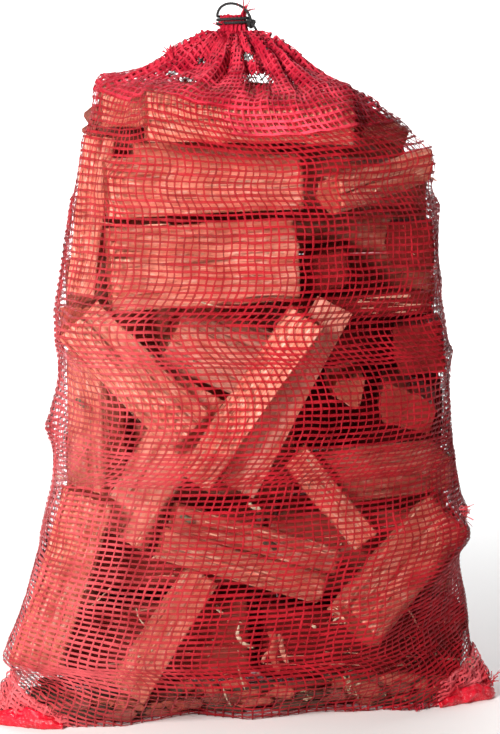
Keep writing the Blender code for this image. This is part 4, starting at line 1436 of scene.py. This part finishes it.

# painted shade: dark flakes that stand in for the shade deep in the gaps between the logs
for number, (route, wide) in enumerate(SHADE_FLAKES):
    ways = [view_way(px, py) for px, py in route]
    path = np.array([EYE + way * ((SHADE_FLAKES_Y - EYE[1]) / way[1]) for way in ways])
    flat_bit(f"shade_flake_{number + 1}", path, wide * MM, SHADE_FLAKES_THICK, "dull", 990 + number)


def heap(name, corners, count, long, tones, seed):
    """Many small bits and crumbs strewn over one place, joined by their tones."""
    rng = np.random.RandomState(seed)
    x0, y0, x1, y1 = corners
    rings = {tone: [] for tone in tones}
    for n in range(count):
        middle = spot(WOOD_TREE, rng.uniform(x0, x1), rng.uniform(y0, y1), 0.0012)
        way = unit(np.array((rng.uniform(-1, 1), rng.uniform(-0.3, 0.3), rng.uniform(-1, 1))))
        side = unit(np.cross(way, rng.uniform(-1, 1, 3)))
        up = np.cross(way, side)
        size = long * MM * rng.uniform(0.4, 1.0)
        bend = rng.uniform(-0.25, 0.25) * size
        wide = min(size * 0.3, 0.9 * MM) * rng.uniform(0.6, 1.2)
        bit = []
        for share in np.linspace(-0.5, 0.5, 5):
            centre = middle + way * share * size + side * bend * (1 - 4 * share * share)
            width = wide * (1.1 - 1.6 * abs(share))
            bit.append([centre + (side * math.cos(a) + up * math.sin(a) * 0.6) * width
                        for a in CRUMB_ANGLES])
        rings[tones[n % len(tones)]].append(np.array(bit))
    for tone, bits in rings.items():
        faces = np.concatenate([ring_quads(5, 5) + 25 * n for n in range(len(bits))])
        verts = np.concatenate([bit.reshape(-1, 3) for bit in bits])
        verts[:, 2] = np.maximum(verts[:, 2], 0.3 * MM)
        mesh = grid_mesh(f"{name}_{tone}", verts, faces)
        add_piece(f"{name}_{tone}", mesh, CHIPS[tone])


for number, (corners, count, long, tones) in enumerate(HEAPS):
    heap(f"heap_{number + 1}", corners, count, long, tones, 950 + number)


def litter(seed):
    """Chips and flakes that gathered in the front of the sack's bottom, lying flat over one another."""
    rng = np.random.RandomState(seed)
    across, forward = np.array(HEM_EDGE).T
    for n in range(LITTER):
        x = rng.uniform(*LITTER_ACROSS)
        front = np.interp(x, across, forward) + 0.012
        y = front + rng.uniform(0, 0.055)
        z = rng.uniform(0.003, 0.012 + 0.3 * max(0.0, y - front))
        turn = rng.uniform(-0.9, 0.9)
        long = rng.uniform(0.018, 0.052)
        way = np.array((math.cos(turn), 0.6 * math.sin(turn), rng.uniform(-0.12, 0.25)))
        middle = np.array((x + VIEW_X, y + EYE_LEVEL_Y, z))
        path = [middle - way * long / 2, middle + (0, 0, rng.uniform(0, 0.003)), middle + way * long / 2]
        tone = ("red", "brown", "red", "dull")[n % 4]
        flat_bit(f"litter_{n + 1}", np.array(path), rng.uniform(6, 15) * MM, rng.uniform(2, 5) * MM,
                 tone, seed + n, rng.uniform(-0.8, 0.8), 9)


def hanging_slivers(name, seed):
    """Slivers torn half off the faces of one log, fixed at one end and standing off a little at the other."""
    rng = np.random.RandomState(seed)
    mesh = bpy.data.objects["split_" + name].data
    points = np.array([vert.co for vert in mesh.vertices])
    facing = np.array([vert.normal for vert in mesh.vertices])
    shape = LogShape(frame["nodes"][name])
    seen = np.flatnonzero(facing[:, 1] < -0.1)
    verts = []
    faces = []
    for _ in range(SLIVERS):
        pick = rng.choice(seen)
        start, out = points[pick], facing[pick]
        way = shape.along * rng.choice((-1, 1))
        inside = (start - shape.start) @ way
        room = shape.length - inside if way @ shape.along > 0 else -inside
        long = min(rng.uniform(0.012, 0.045), room - 0.004)
        if long < 0.006:
            continue
        side = unit(np.cross(way, out))
        lift, drift = rng.uniform(0.6, 2.2) * MM, rng.uniform(-2.0, 2.0) * MM
        wide = rng.uniform(0.5, 1.4) * MM
        base = len(verts)
        for share in np.linspace(0, 1, 6):
            centre = start + way * long * share + side * drift * share
            centre = centre + out * (lift * share ** 2 - 0.3 * MM)
            width = wide * (1 - share) ** 0.6 + 0.08 * MM
            verts += [centre - side * width, centre + side * width, centre + out * width * 0.7]
        for n in range(5):
            here, there = base + 3 * n, base + 3 * n + 3
            faces += [(here + a, here + b, there + b, there + a) for a, b in ((0, 2), (2, 1))]
    return verts, faces


litter(2000)
sliver_verts = []
sliver_faces = []
for number, name in enumerate(log_names):
    if name.startswith("back"):
        continue
    more_verts, more_faces = hanging_slivers(name, 1200 + number)
    sliver_faces += [[len(sliver_verts) + i for i in face] for face in more_faces]
    sliver_verts += more_verts
sliver_mesh = grid_mesh("hanging_slivers", sliver_verts, sliver_faces)
add_piece("hanging_slivers", sliver_mesh, CHIPS["pale"])

# The studio. A plain white floor that runs up into a white wall far behind, a soft light from the left, weak
# ones elsewhere, and the camera at the photograph's viewing angle.

FLOOR_FRONT = -7.0
WALL_BACK = 6.5
WALL_BEND = 1.2                   # radius of the bend between the floor and the wall
WALL_HIGH = 5.0
WALL_HALF_WIDE = 8.0
BEND_STEPS = 12
AMBIENT = 0.13
# the lights: where they are, what they aim at, their size, power and colour
LIGHTS = (
    ("key light", (-0.76, -1.58, 0.9), (0, 0, 0.32), (0.5, 0.5), 54.0, (1.0, 0.97, 0.94)),
    ("fill light", (1.8, -1.8, 0.9), (0, 0, 0.3), (1.6, 1.6), 4.5, (1.0, 0.80, 0.76)),
    ("backdrop light", (0, 2.6, 4.2), (0, 6.2, 0.3), (6.0, 1.5), 520.0, (1.0, 1.0, 1.0)),
)


def studio_material():
    material, nodes, links, shader = new_material("white paper backdrop")
    patch, _, _ = wear_masks(nodes, links, 3.0, 40.0)
    white = mix_colours(nodes, links, patch, (0.90, 0.90, 0.90), (0.92, 0.92, 0.92))
    links.new(white, shader.inputs["Base Color"])
    shader.inputs["Roughness"].default_value = 0.9
    return material


def backdrop():
    """A floor round the bundle, which runs up into a wall far behind it."""
    bend_front = WALL_BACK - WALL_BEND
    profile = [(FLOOR_FRONT, 0.0), (bend_front, 0.0)]
    for step in range(1, BEND_STEPS + 1):
        angle = step / BEND_STEPS * math.pi / 2
        profile.append((bend_front + WALL_BEND * math.sin(angle), WALL_BEND - WALL_BEND * math.cos(angle)))
    profile.append((WALL_BACK, WALL_HIGH))
    verts = [(side, y, z) for side in (-WALL_HALF_WIDE, WALL_HALF_WIDE) for y, z in profile]
    count = len(profile)
    faces = [(n, count + n, count + n + 1, n + 1) for n in range(count - 1)]
    mesh = grid_mesh("backdrop", verts, faces)
    floor = bpy.data.objects.new("backdrop", mesh)
    bpy.context.scene.collection.objects.link(floor)
    mesh.materials.append(studio_material())


backdrop()


def soft_light(name, place, aim, size, power, colour):
    lamp = bpy.data.lights.new(name, "AREA")
    lamp.shape = "RECTANGLE"
    lamp.size, lamp.size_y = size
    lamp.energy = power
    lamp.color = colour
    light = bpy.data.objects.new(name, lamp)
    light.location = place
    light.rotation_euler = (Vector(aim) - Vector(place)).to_track_quat("-Z", "Y").to_euler()
    bpy.context.scene.collection.objects.link(light)


for values in LIGHTS:
    soft_light(*values)
world = bpy.data.worlds.new("studio")
world.use_nodes = True
world.node_tree.nodes["Background"].inputs[0].default_value = (1.0, 1.0, 1.0, 1.0)
world.node_tree.nodes["Background"].inputs[1].default_value = AMBIENT
bpy.context.scene.world = world
bpy.context.scene.view_settings.view_transform = "Standard"
camera_data = bpy.data.cameras.new("camera")
camera_data.lens = LENS
camera_data.sensor_width = SENSOR
camera = bpy.data.objects.new("camera", camera_data)
camera.location = EYE
camera.rotation_euler = (math.pi / 2 - CAMERA_RISE, 0, 0)
bpy.context.scene.collection.objects.link(camera)
bpy.context.scene.camera = camera
